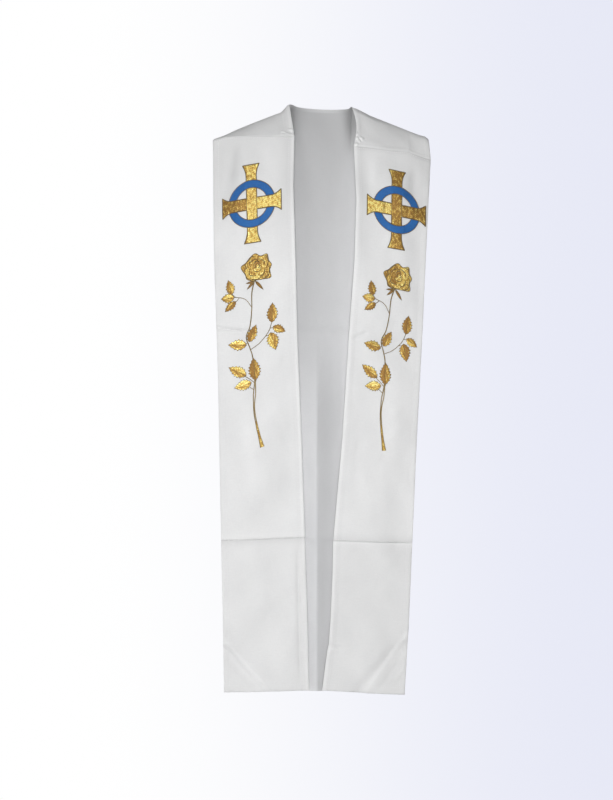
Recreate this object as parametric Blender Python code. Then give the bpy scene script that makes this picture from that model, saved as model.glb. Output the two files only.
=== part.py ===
"""Clerical stole of white cloth, filled out as if worn, with gold and blue applique on its two fronts.

Millimetres inside, metres out. +Z is up, the fronts face -Y, and right and left are the wearer's (right is -X).
The origin is between the two neck points, where the shoulders carry the garment.
"""

import math

import bmesh
import bpy
import numpy as np
from mathutils import Vector
from mathutils.geometry import delaunay_2d_cdt

MM = 0.001

# Cloth
WALL = 2.0
SEAM_GAP = 0.3
RIDGE_DROP = 1.3
YOKE_SWELL = 3.0
MITRE_MOST = 1.5
BACK_HEM_Z = -1167.0
BACK_EDGE_INSET = 3.0
BODY_HALF_WIDTH = 212.0
BODY_MIDDLE_X = 2.0
BODY_ROUNDNESS = 2.2
BODY_OVERHANG = 1.05
YOKE_FULL_LENGTH = 60.0
SEAM_EASE = 90.0
SHOULDER_BEND_X = 0.25
SHOULDER_SLOPE = 0.9
SHOULDER_DROP = 6.0
FOLD_FADE = 0.25
SLANT_LEAST = 0.3

# Rows and columns of each panel
YOKE_ROWS = 5
FRONT_ROWS = 23
LOWER_ROWS = 9
FRONT_COLUMNS = (0.0, 0.03, 0.10, 0.19, 0.28, 0.38, 0.48, 0.58, 0.68, 0.78, 0.87, 0.94, 1.0)
BACK_TOP_ROWS = 8
BACK_LONG_ROWS = 20
BACK_TOP_Z = -170.0
NECK_ANGLES = (15.0, 35.0, 60.0, 90.0, 120.0, 145.0, 165.0)
NECK_BACK_Y = 52.0

# Applique
APPLIQUE_GAP = 0.6
APPLIQUE_THICKNESS = 0.9
WEAVE_LIFT = 1.3
WEAVE_MARGIN = 2.0
WEAVE_RAMP = 7.0
POINT_SPACING = 11.0
CROSS_POINT_SPACING = 7.0
JOIN_TOLERANCE = 0.02
SLOPE_STEP = 2.0


def table(columns, rows):
    """A short table as one array for each named column."""
    return {name: np.array([row[i] for row in rows], float) for i, name in enumerate(columns)}


# Shoulder ridge, from the outer tip to the neck point for the right side, and outwards again for the left
RIGHT_RIDGE = table(
    ("x", "z"),
    [
        (-211, -69), (-208, -66), (-188, -58.5), (-168, -48.5), (-149, -40.5), (-129, -32.5),
        (-109, -25), (-89, -17), (-77, -13), (-71, -7), (-65, 0), (-61, 3),
    ],
)
LEFT_RIDGE = table(
    ("x", "z"),
    [
        (64, -3), (70, -5), (76, -7), (84, -11), (99, -19), (119, -27),
        (139, -35), (159, -43), (179, -51), (195, -57), (208, -60.5), (215, -66),
    ],
)

# Slanting seam between a yoke and its front
RIGHT_SEAM = table(("x", "z"), [(-211.5, -71.5), (-187, -66), (-167, -65.5), (-108, -67.5), (-50, -69.5)])
LEFT_SEAM = table(
    ("x", "z"), [(66, -88), (90, -90), (137, -94.5), (175, -95), (181, -98.5), (212, -108), (219, -109)]
)

# Side edges of each front
RIGHT_EDGES = table(
    ("z", "outer", "inner"),
    [
        (-1157, -189, -22.5), (-1020, -192, -25.5), (-860, -196, -30.5), (-663, -200, -36.5),
        (-467, -204, -44), (-310, -209, -48), (-165, -210.5, -52), (-70, -211.5, -50),
    ],
)
LEFT_EDGES = table(
    ("z", "outer", "inner"),
    [
        (-1157, 167, 3), (-1020, 175, 17), (-860, 182, 25), (-663, 190.5, 43.5),
        (-467, 201, 56), (-310, 208.5, 67.5), (-190, 214.5, 71), (-109, 219, 67), (-88, 219, 66),
    ],
)

# Height of the cross seam and of the hem at the outer and inner edge
FRONT_LEVELS = {
    "right": {"cross": (-861.5, -854.0), "hem": (-1158.5, -1155.5)},
    "left": {"cross": (-866.5, -861.0), "hem": (-1162.5, -1155.5)},
}

# How far the front and the back stand from the middle plane, at the middle and at the side edges
BODY_DEPTH = table(
    ("z", "middle", "edge"),
    [(-1160, 35, 26), (-700, 42, 27), (-400, 50, 25), (-180, 57, 19), (-110, 57, 13), (-60, 54, 8)],
)

# Drape folds: a line from top to bottom, its depth (positive stands out), half width and whether it runs off the hem
FOLD_COLUMNS = ("x_top", "z_top", "x_end", "z_end", "depth", "half_width", "to_hem")
RIGHT_FOLDS = [
    (-190, -80, -178, -300, -2.6, 20, 0),
    (-150, -560, -120, -1160, 2.2, 34, 1),
    (-60, -90, -66, -520, 1.6, 22, 0),
    (-196, -1060, -100, -1160, -3.0, 16, 1),
    (-178, -640, -168, -1060, -2.0, 24, 0),
]
LEFT_FOLDS = [
    (192, -112, 192, -450, -3.0, 20, 0),
    (128, -560, 96, -1160, 2.2, 34, 1),
    (86, -110, 88, -520, 1.6, 22, 0),
    (174, -1050, 74, -1160, -3.0, 16, 1),
    (170, -620, 150, -1050, -2.2, 24, 0),
]
BACK_FOLDS = [
    (0, -330, -6, -1167, -6.0, 17, 1),
    (-96, -150, -84, -1167, 4.0, 24, 1),
    (-150, -420, -136, -1167, -4.0, 20, 1),
    (92, -140, 70, -1167, 4.5, 24, 1),
    (150, -380, 120, -1167, -4.5, 20, 1),
    (-36, -40, -44, -420, -2.5, 16, 0),
    (44, -40, 40, -380, -2.5, 16, 0),
]

# The emblem: a flared cross woven with a ring
CROSS_STEM_HALF = 9.8
CROSS_STEM_FLARE = 16.6
CROSS_BAR_HALF = 11.4
CROSS_BAR_FLARE = 20.5
CROSS_ARM = {"up": 77.0, "down": 76.0, "side": 58.0}
CROSS_FLARE_LENGTH = 26.0
BAR_FLARE_LENGTH = 20.8
CROSS_STEM_STATIONS = (44.0, 33.0)
FLARE_STATIONS = (0.0, 0.2, 0.45, 0.72, 1.0)
FLARE_POWER = 2.2
RING_OUTER = 46.0
RING_INNER = 31.0
RING_POINTS = 40

# Where each emblem and spray lies, how its upright leans (sideways per mm down) and how its bar rises
PLACES = {
    "right": {"emblem": (-133.5, -200.0, 0.023, 0.146), "spray": (-123.5, -327.0, 0.023, 0.146)},
    "left": {"emblem": (150.0, -212.0, -0.012, -0.176), "spray": (151.0, -343.0, -0.080, -0.176)},
}

# The rose spray, in millimetres across and down from the middle of its bloom
BLOOM = table(
    ("angle", "radius"),
    [
        (95, 30), (72, 25), (52, 33), (30, 27), (8, 29), (-14, 26), (-38, 34), (-62, 25),
        (-88, 22), (-112, 24), (-138, 27), (-160, 25), (168, 32), (146, 26), (120, 27),
    ],
)
STEM = table(
    ("across", "down", "width"),
    [
        (-4, 18, 4.0), (-11, 45, 3.0), (-12, 78, 3.0), (-16, 109, 3.0), (-24, 131, 3.2), (-17, 154, 3.6),
        (-12, 174, 4.0), (-9, 220, 4.6), (-12, 270, 5.4), (-7, 308, 6.4), (2, 350, 9.0),
    ],
)
TWIGS = [
    [(-12, 74), (-24, 57), (-42, 50), (-54, 50)],
    [(-43, 50), (-49, 44), (-53, 38)],
    [(-36, 52), (-42, 58), (-48, 62)],
    [(-17, 157), (2, 146), (20, 126), (28, 104)],
    [(23, 120), (32, 120), (38, 121)],
    [(14, 134), (24, 134), (28, 136)],
    [(-21, 137), (-17, 132), (-15, 130)],
    [(-21, 142), (-30, 145), (-36, 146)],
    [(-10, 222), (-20, 213), (-34, 203)],
    [(-11, 236), (-22, 228), (-32, 224)],
    [(-9, 224), (-6, 214), (-7, 206)],
]
TWIG_WIDTH = 2.2
LEAVES = table(
    ("base_across", "base_down", "tip_across", "tip_down", "half_width"),
    [
        (-52, 41, -56, 13, 7.0), (-50, 50, -73, 46, 7.5), (-45, 60, -66, 74, 6.5), (27, 108, 32, 70, 9.0),
        (36, 121, 60, 128, 7.5), (26, 135, 31, 166, 8.5), (-16, 133, -6, 106, 6.5), (-34, 146, -57, 152, 8.5),
        (-32, 205, -54, 184, 8.0), (-29, 224, -52, 226, 8.0), (-7, 210, -15, 172, 8.5),
    ],
)
LEAF_STATIONS = (0.16, 0.36, 0.57, 0.78)
LEAF_TOOTH = 0.13
TOOTH_RUN = 0.035
LEAF_FULLNESS = 0.8
SEPALS = [((-6, 24), (-24, 27), 3.2), ((-6, 24), (-22, 40), 3.4), ((-3, 24), (14, 44), 3.6)]
SEPAL_BEND = 1.5
SEPAL_TIP = 0.8

FINISHES = {
    "white_cloth": {"colour": (0.80, 0.80, 0.79), "roughness": 0.8, "metallic": 0.0},
    "gold_thread": {"colour": (0.72, 0.47, 0.14), "roughness": 0.35, "metallic": 0.9},
    "blue_cloth": {"colour": (0.04, 0.14, 0.40), "roughness": 0.8, "metallic": 0.0},
}

RIDGES = {"right": RIGHT_RIDGE, "left": LEFT_RIDGE}
SEAMS = {"right": RIGHT_SEAM, "left": LEFT_SEAM}
EDGES = {"right": RIGHT_EDGES, "left": LEFT_EDGES}
FOLDS = {
    "right": [dict(zip(FOLD_COLUMNS, row)) for row in RIGHT_FOLDS],
    "left": [dict(zip(FOLD_COLUMNS, row)) for row in LEFT_FOLDS],
    "back": [dict(zip(FOLD_COLUMNS, row)) for row in BACK_FOLDS],
}


def smooth(t):
    """A soft step from 0 to 1."""
    t = min(max(t, 0.0), 1.0)
    return t * t * (3.0 - 2.0 * t)


def body_depth(x, z):
    """Distance of the garment's surface from its middle plane."""
    middle = np.interp(z, BODY_DEPTH["z"], BODY_DEPTH["middle"])
    edge = np.interp(z, BODY_DEPTH["z"], BODY_DEPTH["edge"])
    across = min(abs(x - BODY_MIDDLE_X) / BODY_HALF_WIDTH, BODY_OVERHANG)
    return middle + (edge - middle) * across**BODY_ROUNDNESS


def fold_depth(folds, x, z):
    """Sum of the drape folds at a point of a panel."""
    total = 0.0
    for fold in folds:
        run = (fold["z_top"] - z) / (fold["z_top"] - fold["z_end"])
        if run <= 0.0 or (run >= 1.0 and not fold["to_hem"]):
            continue
        line = fold["x_top"] + (fold["x_end"] - fold["x_top"]) * min(run, 1.0)
        fade = smooth(run / FOLD_FADE)
        if not fold["to_hem"]:
            fade *= smooth((1.0 - run) / FOLD_FADE)
        total += fold["depth"] * fade * math.exp(-(((x - line) / fold["half_width"]) ** 2))
    return total


def front_y(side, x, z):
    """Depth of a front's middle surface at a place on it."""
    return -(body_depth(x, z) + fold_depth(FOLDS[side], x, z))


def back_y(x, z):
    """Depth of the back's middle surface at a place on it."""
    return body_depth(x, z) + fold_depth(FOLDS["back"], x, z)


def front_x(side, column, z):
    """Sideways place of a column, 0 at the outer edge and 1 at the inner edge."""
    edges = EDGES[side]
    outer = np.interp(z, edges["z"], edges["outer"])
    inner = np.interp(z, edges["z"], edges["inner"])
    return outer + (inner - outer) * column


def ridge_point(side, column):
    """A point of the shoulder ridge, from its outer tip to the neck."""
    ridge = RIDGES[side]
    ends = (ridge["x"][0], ridge["x"][-1]) if side == "right" else (ridge["x"][-1], ridge["x"][0])
    x = ends[0] + (ends[1] - ends[0]) * column
    return np.array([x, 0.0, np.interp(x, ridge["x"], ridge["z"]) - RIDGE_DROP])


def seam_point(side, column):
    """A point of the slanting front seam."""
    seam = SEAMS[side]
    ends = (seam["x"][0], seam["x"][-1]) if side == "right" else (seam["x"][-1], seam["x"][0])
    x = ends[0] + (ends[1] - ends[0]) * column
    z = np.interp(x, seam["x"], seam["z"])
    return np.array([x, front_y(side, x, z), z])


def front_grid(side):
    """Rows of a whole front, from the ridge over both seams to the hem, with the rows where the seams lie."""
    levels = FRONT_LEVELS[side]
    columns = []
    for column in FRONT_COLUMNS:
        ridge = ridge_point(side, column)
        seam = seam_point(side, column)
        out = np.cross([1.0, 0.0, 0.0], seam - ridge)
        out = -out / np.linalg.norm(out) * math.copysign(1.0, out[1])
        points = []
        swell = YOKE_SWELL * min(1.0, np.linalg.norm(seam - ridge) / YOKE_FULL_LENGTH)
        for t in np.linspace(0.0, 1.0, YOKE_ROWS)[:-1]:
            points.append(ridge + (seam - ridge) * t + out * swell * math.sin(math.pi * t))
        cross = levels["cross"][0] + (levels["cross"][1] - levels["cross"][0]) * column
        hem = levels["hem"][0] + (levels["hem"][1] - levels["hem"][0]) * column
        heights = list(np.linspace(seam[2], cross, FRONT_ROWS)) + list(np.linspace(cross, hem, LOWER_ROWS))[1:]
        for z in heights:
            nearness = smooth((z - seam[2] + SEAM_EASE) / SEAM_EASE)
            x = front_x(side, column, z)
            x += (seam[0] - front_x(side, column, seam[2])) * nearness
            points.append(np.array([x, front_y(side, x, z), z]))
        columns.append(points)
    rows = np.array(columns).transpose(1, 0, 2)
    return rows, YOKE_ROWS - 1, YOKE_ROWS - 1 + FRONT_ROWS - 1


def back_top_edge():
    """Top edge of the back, over the right ridge, the neckline and the left ridge, and each column's share of the width."""
    right = [ridge_point("right", column) for column in FRONT_COLUMNS]
    left = [ridge_point("left", column) for column in reversed(FRONT_COLUMNS)]
    start = right[-1]
    end = left[0]
    middle = (start + end) / 2.0
    half = (end[0] - start[0]) / 2.0
    neck = []
    for angle in NECK_ANGLES:
        turn = math.radians(angle)
        share = (1.0 - math.cos(turn)) / 2.0
        z = start[2] + (end[2] - start[2]) * share
        neck.append(np.array([middle[0] - half * math.cos(turn), NECK_BACK_Y * math.sin(turn), z]))
    edge = right + neck + left
    first = right[0][0]
    last = left[-1][0]
    shares = []
    for i, point in enumerate(edge):
        x = point[0]
        if len(right) <= i < len(right) + len(neck):
            step = (i - len(right) + 1) / (len(neck) + 1)
            x = start[0] + (end[0] - start[0]) * step
        shares.append((x - first) / (last - first))
    return edge, shares


def back_x(share, z):
    """Sideways place of a column of the back at a height."""
    right = np.interp(z, RIGHT_EDGES["z"], RIGHT_EDGES["outer"]) + BACK_EDGE_INSET
    left = np.interp(z, LEFT_EDGES["z"], LEFT_EDGES["outer"]) - BACK_EDGE_INSET
    return right + (left - right) * share


def back_grid():
    """Rows of the back, from the ridge and the neckline to the hem."""
    edge, shares = back_top_edge()
    columns = []
    for top, share in zip(edge, shares):
        x_low = back_x(share, BACK_TOP_Z)
        low = np.array([x_low, back_y(x_low, BACK_TOP_Z), BACK_TOP_Z])
        reach = max(body_depth(top[0], top[2]) - top[1], 0.0)
        bend_x = top[0] + (x_low - top[0]) * SHOULDER_BEND_X
        bend = np.array([bend_x, 0.0, top[2] - SHOULDER_SLOPE * reach - SHOULDER_DROP])
        bend[1] = max(back_y(bend[0], bend[2]), top[1])
        points = []
        for t in np.linspace(0.0, 1.0, BACK_TOP_ROWS)[:-1]:
            points.append(top * (1.0 - t) ** 2 + bend * 2.0 * t * (1.0 - t) + low * t * t)
        for z in np.linspace(BACK_TOP_Z, BACK_HEM_Z, BACK_LONG_ROWS):
            x = back_x(share, z)
            points.append(np.array([x, back_y(x, z), z]))
        columns.append(points)
    return np.array(columns).transpose(1, 0, 2)


def grid_normals(rows, outward):
    """Unit normals of a grid of points, on the side where outward (-1 front, 1 back) points."""
    down = np.gradient(rows, axis=0)
    steps = rows[1:] - rows[:-1]
    lengths = np.linalg.norm(steps, axis=2, keepdims=True)
    units = steps / lengths
    down[1:-1] = units[1:] + units[:-1]
    down[0] = units[0]
    down[-1] = units[-1]
    across = np.gradient(rows, axis=1)
    normals = np.cross(across, down)
    normals /= np.linalg.norm(normals, axis=2, keepdims=True)
    facing = np.sign(normals[len(rows) // 2, rows.shape[1] // 2, 1]) * outward
    normals = normals * facing
    faces = np.cross(np.gradient(rows, axis=1)[:-1], steps) * facing
    faces /= np.linalg.norm(faces, axis=2, keepdims=True)
    stretch = np.ones(rows.shape[:2])
    stretch[:-1] = np.maximum(stretch[:-1], 1.0 / np.maximum((normals[:-1] * faces).sum(axis=2), SLANT_LEAST))
    return normals, np.minimum(stretch, MITRE_MOST)


def set_ridge_normals(rows, normals, stretch, columns, outward):
    """Turns the normals of the first row upright along the ridge, so that the two sides meet in one plane."""
    along = np.gradient(rows[0], axis=0)
    for j in columns:
        flat = np.array([along[j][0], 0.0, along[j][2]])
        up = np.cross([0.0, outward, 0.0], flat)
        up /= np.linalg.norm(up)
        up *= math.copysign(1.0, up[2])
        slope = rows[1][j] - rows[0][j]
        slope /= np.linalg.norm(slope)
        normals[0][j] = up
        across = math.sqrt(max(1.0 - float(np.dot(up, slope)) ** 2, 0.0))
        stretch[0][j] = min(1.0 / max(across, SLANT_LEAST), MITRE_MOST)


def cut(rows, first, last, trim_first, trim_last):
    """Rows first to last, with half a seam gap taken off the ends that meet another piece."""
    piece = rows[first : last + 1].copy()
    for at, inner, trim in ((0, 1, trim_first), (-1, -2, trim_last)):
        if trim:
            step = piece[inner] - piece[at]
            piece[at] += step / np.linalg.norm(step, axis=1, keepdims=True) * SEAM_GAP / 2.0
    return piece


def material(node, finish):
    """The material of one node."""
    look = FINISHES[finish]
    made = bpy.data.materials.new(node + "_" + finish)
    made.use_nodes = True
    shader = made.node_tree.nodes["Principled BSDF"]
    shader.inputs["Base Color"].default_value = (*look["colour"], 1.0)
    shader.inputs["Roughness"].default_value = look["roughness"]
    shader.inputs["Metallic"].default_value = look["metallic"]
    return made


def add_object(name, points, faces, finish):
    """Makes one closed object from points in millimetres."""
    mesh = bpy.data.meshes.new(name)
    mesh.from_pydata([tuple(float(c) * MM for c in p) for p in points], [], [tuple(f) for f in faces])
    work = bmesh.new()
    work.from_mesh(mesh)
    bmesh.ops.recalc_face_normals(work, faces=work.faces)
    bmesh.ops.triangulate(work, faces=work.faces)
    work.to_mesh(mesh)
    work.free()
    mesh.validate()
    mesh.materials.append(material(name, finish))
    mesh.polygons.foreach_set("use_smooth", [True] * len(mesh.polygons))
    obj = bpy.data.objects.new(name, mesh)
    bpy.context.scene.collection.objects.link(obj)
    return obj


def add_shell(name, rows, normals, stretch):
    """A cloth panel: the grid moved half a wall each way, closed along its rim."""
    offset = normals * (stretch * WALL / 2.0)[:, :, None]
    outer = rows + offset
    inner = rows - offset
    height, width = rows.shape[:2]
    points = list(outer.reshape(-1, 3)) + list(inner.reshape(-1, 3))
    half = height * width

    def at(i, j):
        return i * width + j

    faces = []
    for i in range(height - 1):
        for j in range(width - 1):
            quad = [at(i, j), at(i + 1, j), at(i + 1, j + 1), at(i, j + 1)]
            faces.append(quad)
            faces.append([k + half for k in reversed(quad)])
    rim = [at(0, j) for j in range(width)] + [at(i, width - 1) for i in range(1, height)]
    rim += [at(height - 1, j) for j in range(width - 2, -1, -1)] + [at(i, 0) for i in range(height - 2, 0, -1)]
    for a, b in zip(rim, rim[1:] + rim[:1]):
        faces.append([a, b, b + half, a + half])
    return add_object(name, points, faces, "white_cloth")


def panel_place(side, x, z):
    """The point and outward normal of a front at a place on it."""
    y = front_y(side, x, z)
    dx = (front_y(side, x + SLOPE_STEP, z) - front_y(side, x - SLOPE_STEP, z)) / (2.0 * SLOPE_STEP)
    dz = (front_y(side, x, z + SLOPE_STEP) - front_y(side, x, z - SLOPE_STEP)) / (2.0 * SLOPE_STEP)
    normal = np.array([dx, -1.0, dz])
    return np.array([x, y, z]), normal / np.linalg.norm(normal)


def local_to_panel(side, kind, across, down):
    """Turns a motif's own millimetres into a place on its front."""
    x, z, lean, rise = PLACES[side][kind]
    return x + across + lean * down, z - down + rise * across


def add_plate(name, side, kind, flat_points, triangles, lift, finish):
    """A sewn-on motif: flat triangles laid on the front's outer points and moved out."""
    lower = []
    upper = []
    for across, down in flat_points:
        x, z = local_to_panel(side, kind, across, down)
        point, normal = panel_place(side, x, z)
        base = WALL / 2.0 + APPLIQUE_GAP + lift(across, down)
        lower.append(point + normal * base)
        upper.append(point + normal * (base + APPLIQUE_THICKNESS))
    count = len(flat_points)
    faces = []
    used = {}
    for a, b, c in triangles:
        faces.append([a + count, b + count, c + count])
        faces.append([c, b, a])
        for edge in ((a, b), (b, c), (c, a)):
            used[edge] = True
    for a, b in used:
        if (b, a) not in used:
            faces.append([a, b, b + count, a + count])
    return add_object(name, lower + upper, faces, finish)


def fill_outlines(outlines, spacing):
    """Joins flat outlines that overlap into one set of triangles, with points inside them at a spacing."""
    points = []
    faces = []
    for outline in outlines:
        area = sum(a[0] * b[1] - b[0] * a[1] for a, b in zip(outline, outline[1:] + outline[:1]))
        ring = outline if area > 0 else outline[::-1]
        faces.append(list(range(len(points), len(points) + len(ring))))
        points += [Vector(p) for p in ring]
    low = [min(p[i] for p in points) for i in (0, 1)]
    high = [max(p[i] for p in points) for i in (0, 1)]
    for i, across in enumerate(np.arange(low[0], high[0], spacing)):
        for down in np.arange(low[1] + (i % 2) * spacing / 2.0, high[1], spacing):
            if spacing_clear(points, across, down, spacing / 2.0):
                points.append(Vector((across, down)))
    joined = delaunay_2d_cdt(points, [], faces, 0, JOIN_TOLERANCE, True)
    made = joined[0]
    kept = [list(triangle) for triangle, outline in zip(joined[2], joined[5]) if outline]
    used = sorted({i for t in kept for i in t})
    index = {old: new for new, old in enumerate(used)}
    flat = [(made[i][0], made[i][1]) for i in used]
    return flat, [[index[i] for i in t] for t in kept]


def spacing_clear(points, across, down, least):
    """Whether a place is at least some distance from every point."""
    return all(math.hypot(p[0] - across, p[1] - down) > least for p in points)


def ring_lift(across, down):
    """The ring rises where it passes over the stem of the cross."""
    away = abs(across) - (CROSS_STEM_HALF + WEAVE_MARGIN)
    return WEAVE_LIFT * smooth(1.0 - away / WEAVE_RAMP)


def cross_lift(across, down):
    """The cross rises where its bar passes over the ring."""
    middle = (RING_OUTER + RING_INNER) / 2.0
    half = (RING_OUTER - RING_INNER) / 2.0 + WEAVE_MARGIN
    away = abs(abs(across) - middle) - half
    return WEAVE_LIFT * smooth(1.0 - away / WEAVE_RAMP)


def flare(start, length, half, flare_half):
    """Half widths along the flared end of an arm, from its end inwards, as pairs of distance and half width."""
    return [
        (start - length * share, half + (flare_half - half) * (1.0 - share) ** FLARE_POWER)
        for share in FLARE_STATIONS
    ]


def cross_outline():
    """The flared cross, from its top right corner round clockwise, in millimetres across and down."""
    up = flare(CROSS_ARM["up"], CROSS_FLARE_LENGTH, CROSS_STEM_HALF, CROSS_STEM_FLARE)
    low = flare(CROSS_ARM["down"], CROSS_FLARE_LENGTH, CROSS_STEM_HALF, CROSS_STEM_FLARE)
    for arm in (up, low):
        arm += [(reach, CROSS_STEM_HALF) for reach in CROSS_STEM_STATIONS]
    side = flare(CROSS_ARM["side"], BAR_FLARE_LENGTH, CROSS_BAR_HALF, CROSS_BAR_FLARE)
    under = RING_INNER - WEAVE_MARGIN
    side += [(under, CROSS_BAR_HALF), (under - WEAVE_RAMP, CROSS_BAR_HALF)]
    corner = (CROSS_STEM_HALF, CROSS_BAR_HALF)
    upper_right = [(half, -reach) for reach, half in up] + [(corner[0], -corner[1])]
    upper_right += [(reach, -half) for reach, half in reversed(side)]
    lower_right = [(reach, half) for reach, half in side] + [corner]
    lower_right += [(half, reach) for reach, half in reversed(low)]
    right = upper_right + lower_right
    return right + [(-across, down) for across, down in reversed(right)]


def ring_grid():
    """The ring as two rows of points and the triangles between them."""
    flat = []
    for k in range(RING_POINTS):
        turn = 2.0 * math.pi * k / RING_POINTS
        for radius in (RING_INNER, (RING_INNER + RING_OUTER) / 2.0, RING_OUTER):
            flat.append((radius * math.cos(turn), radius * math.sin(turn)))
    triangles = []
    for k in range(RING_POINTS):
        n = (k + 1) % RING_POINTS
        for r in (0, 1):
            a, b, c, d = 3 * k + r, 3 * k + r + 1, 3 * n + r + 1, 3 * n + r
            triangles += [[a, b, c], [a, c, d]]
    return flat, triangles


def ribbon(path, widths):
    """Outline of a strip along a path."""
    left = []
    right = []
    for i, (x, y) in enumerate(path):
        before = path[max(i - 1, 0)]
        after = path[min(i + 1, len(path) - 1)]
        run = math.hypot(after[0] - before[0], after[1] - before[1])
        nx, ny = -(after[1] - before[1]) / run, (after[0] - before[0]) / run
        left.append((x + nx * widths[i] / 2.0, y + ny * widths[i] / 2.0))
        right.append((x - nx * widths[i] / 2.0, y - ny * widths[i] / 2.0))
    return left + right[::-1]


def leaf_outline(base, tip, half_width):
    """A leaf with a toothed edge from its base to its tip."""
    run = (tip[0] - base[0], tip[1] - base[1])
    length = math.hypot(*run)
    along = (run[0] / length, run[1] / length)
    aside = (-along[1], along[0])
    halves = []
    for sign in (1.0, -1.0):
        points = []
        for station in LEAF_STATIONS:
            width = half_width * math.sin(math.pi * station**LEAF_FULLNESS)
            for shift, scale in ((0.0, 1.0 + LEAF_TOOTH), (TOOTH_RUN, 1.0 - LEAF_TOOTH)):
                s = station + shift
                points.append(
                    (
                        base[0] + along[0] * length * s + aside[0] * width * scale * sign,
                        base[1] + along[1] * length * s + aside[1] * width * scale * sign,
                    )
                )
        halves.append(points)
    return [base] + halves[0] + [tip] + halves[1][::-1]


def spray_outlines():
    """Every outline of the rose spray: bloom, sepals, stem, twigs and leaves."""
    outlines = [
        [
            (radius * math.cos(math.radians(angle)), -radius * math.sin(math.radians(angle)))
            for angle, radius in zip(BLOOM["angle"], BLOOM["radius"])
        ]
    ]
    outlines.append(ribbon(list(zip(STEM["across"], STEM["down"])), list(STEM["width"])))
    for path in TWIGS:
        outlines.append(ribbon(path, [TWIG_WIDTH] * len(path)))
    for base, tip, width in SEPALS:
        bend = ((base[0] + tip[0]) / 2.0, (base[1] + tip[1]) / 2.0 - SEPAL_BEND)
        outlines.append(ribbon([base, bend, tip], [width, width, SEPAL_TIP]))
    for i in range(len(LEAVES["half_width"])):
        base = (LEAVES["base_across"][i], LEAVES["base_down"][i])
        tip = (LEAVES["tip_across"][i], LEAVES["tip_down"][i])
        outlines.append(leaf_outline(base, tip, LEAVES["half_width"][i]))
    return outlines


def build_front(side):
    """Yoke, front and lower front of one side, cut from one grid so that they follow on."""
    rows, seam, cross = front_grid(side)
    normals, stretch = grid_normals(rows, -1.0)
    set_ridge_normals(rows, normals, stretch, range(rows.shape[1]), -1.0)
    last = len(rows) - 1
    for name, first, end, trim_first, trim_last in (
        ("yoke_", 0, seam, True, True),
        ("front_", seam, cross, True, True),
        ("lower_front_", cross, last, True, False),
    ):
        piece = cut(rows, first, end, trim_first, trim_last)
        add_shell(name + side, piece, normals[first : end + 1], stretch[first : end + 1])


def build_back():
    """The full-length back."""
    rows = back_grid()
    normals, stretch = grid_normals(rows, 1.0)
    width = rows.shape[1]
    ridge = len(FRONT_COLUMNS)
    on_ridge = list(range(ridge)) + list(range(width - ridge, width))
    set_ridge_normals(rows, normals, stretch, on_ridge, 1.0)
    piece = rows.copy()
    for j in on_ridge:
        piece[0][j][1] += SEAM_GAP / 2.0
    add_shell("back_panel", piece, normals, stretch)


def build_motifs(side):
    """Cross, ring and rose spray of one side."""
    flat, triangles = fill_outlines([cross_outline()], CROSS_POINT_SPACING)
    add_plate("cross_" + side, side, "emblem", flat, triangles, cross_lift, "gold_thread")
    flat, triangles = ring_grid()
    add_plate("ring_" + side, side, "emblem", flat, triangles, ring_lift, "blue_cloth")
    flat, triangles = fill_outlines(spray_outlines(), POINT_SPACING)
    add_plate("rose_" + side, side, "spray", flat, triangles, lambda across, down: 0.0, "gold_thread")


def main():
    """Clears the scene and builds every piece."""
    for obj in list(bpy.data.objects):
        bpy.data.objects.remove(obj, do_unlink=True)
    build_back()
    for side in ("right", "left"):
        build_front(side)
        build_motifs(side)


main()
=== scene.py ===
"""Dresses the clerical stole: white cloth panels, gold crosses woven with blue rings, and gold rose sprays.

The forms follow the part's source, in millimetres; the side edges and hems of the fronts and the sprays are
set a little more closely than there. Points become metres when a mesh is made.
"""
import logging
import math
import random
from dataclasses import dataclass, field
from enum import Enum
from functools import partial
from typing import Any, Callable, Iterable, Optional, Sequence

import bmesh
import bpy
import numpy as np
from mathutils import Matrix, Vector


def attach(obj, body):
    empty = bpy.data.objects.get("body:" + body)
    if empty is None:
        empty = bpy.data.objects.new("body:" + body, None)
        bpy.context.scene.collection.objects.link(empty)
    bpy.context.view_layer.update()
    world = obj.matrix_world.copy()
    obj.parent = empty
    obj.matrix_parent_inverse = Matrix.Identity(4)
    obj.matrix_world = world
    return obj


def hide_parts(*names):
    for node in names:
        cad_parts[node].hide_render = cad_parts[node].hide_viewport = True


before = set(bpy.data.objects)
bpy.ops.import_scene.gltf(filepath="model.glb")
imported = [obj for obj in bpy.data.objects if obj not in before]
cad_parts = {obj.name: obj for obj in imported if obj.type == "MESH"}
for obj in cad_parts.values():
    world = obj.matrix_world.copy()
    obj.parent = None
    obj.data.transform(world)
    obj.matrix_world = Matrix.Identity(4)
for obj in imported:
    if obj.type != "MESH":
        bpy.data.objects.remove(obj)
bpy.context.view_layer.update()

LOG = logging.getLogger("stole")
MM = 0.001
RIDGE_DROP = 1.3
TINY = 1e-9
Array = np.ndarray
Pair = tuple[float, float]
Triple = tuple[float, float, float]


class Side(Enum):
    """The wearer's side that a piece is on."""

    RIGHT = "right"
    LEFT = "left"


class Zone(Enum):
    """The three panels of a front, from the shoulder down."""

    YOKE = "yoke"
    FRONT = "front"
    LOWER = "lower_front"


def table(columns: Sequence[str], rows: Sequence[Sequence[float]]) -> dict[str, Array]:
    """A short table as one array for each named column."""
    return {name: np.array([row[i] for row in rows], float) for i, name in enumerate(columns)}


def smooth(t: Array | float) -> Array:
    """A soft step from 0 to 1."""
    t = np.clip(t, 0.0, 1.0)
    return t * t * (3.0 - 2.0 * t)


def bump(distance: Array, half_width: float) -> Array:
    """A soft ridge of height 1 along distance 0."""
    return np.exp(-((distance / half_width) ** 2))


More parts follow.
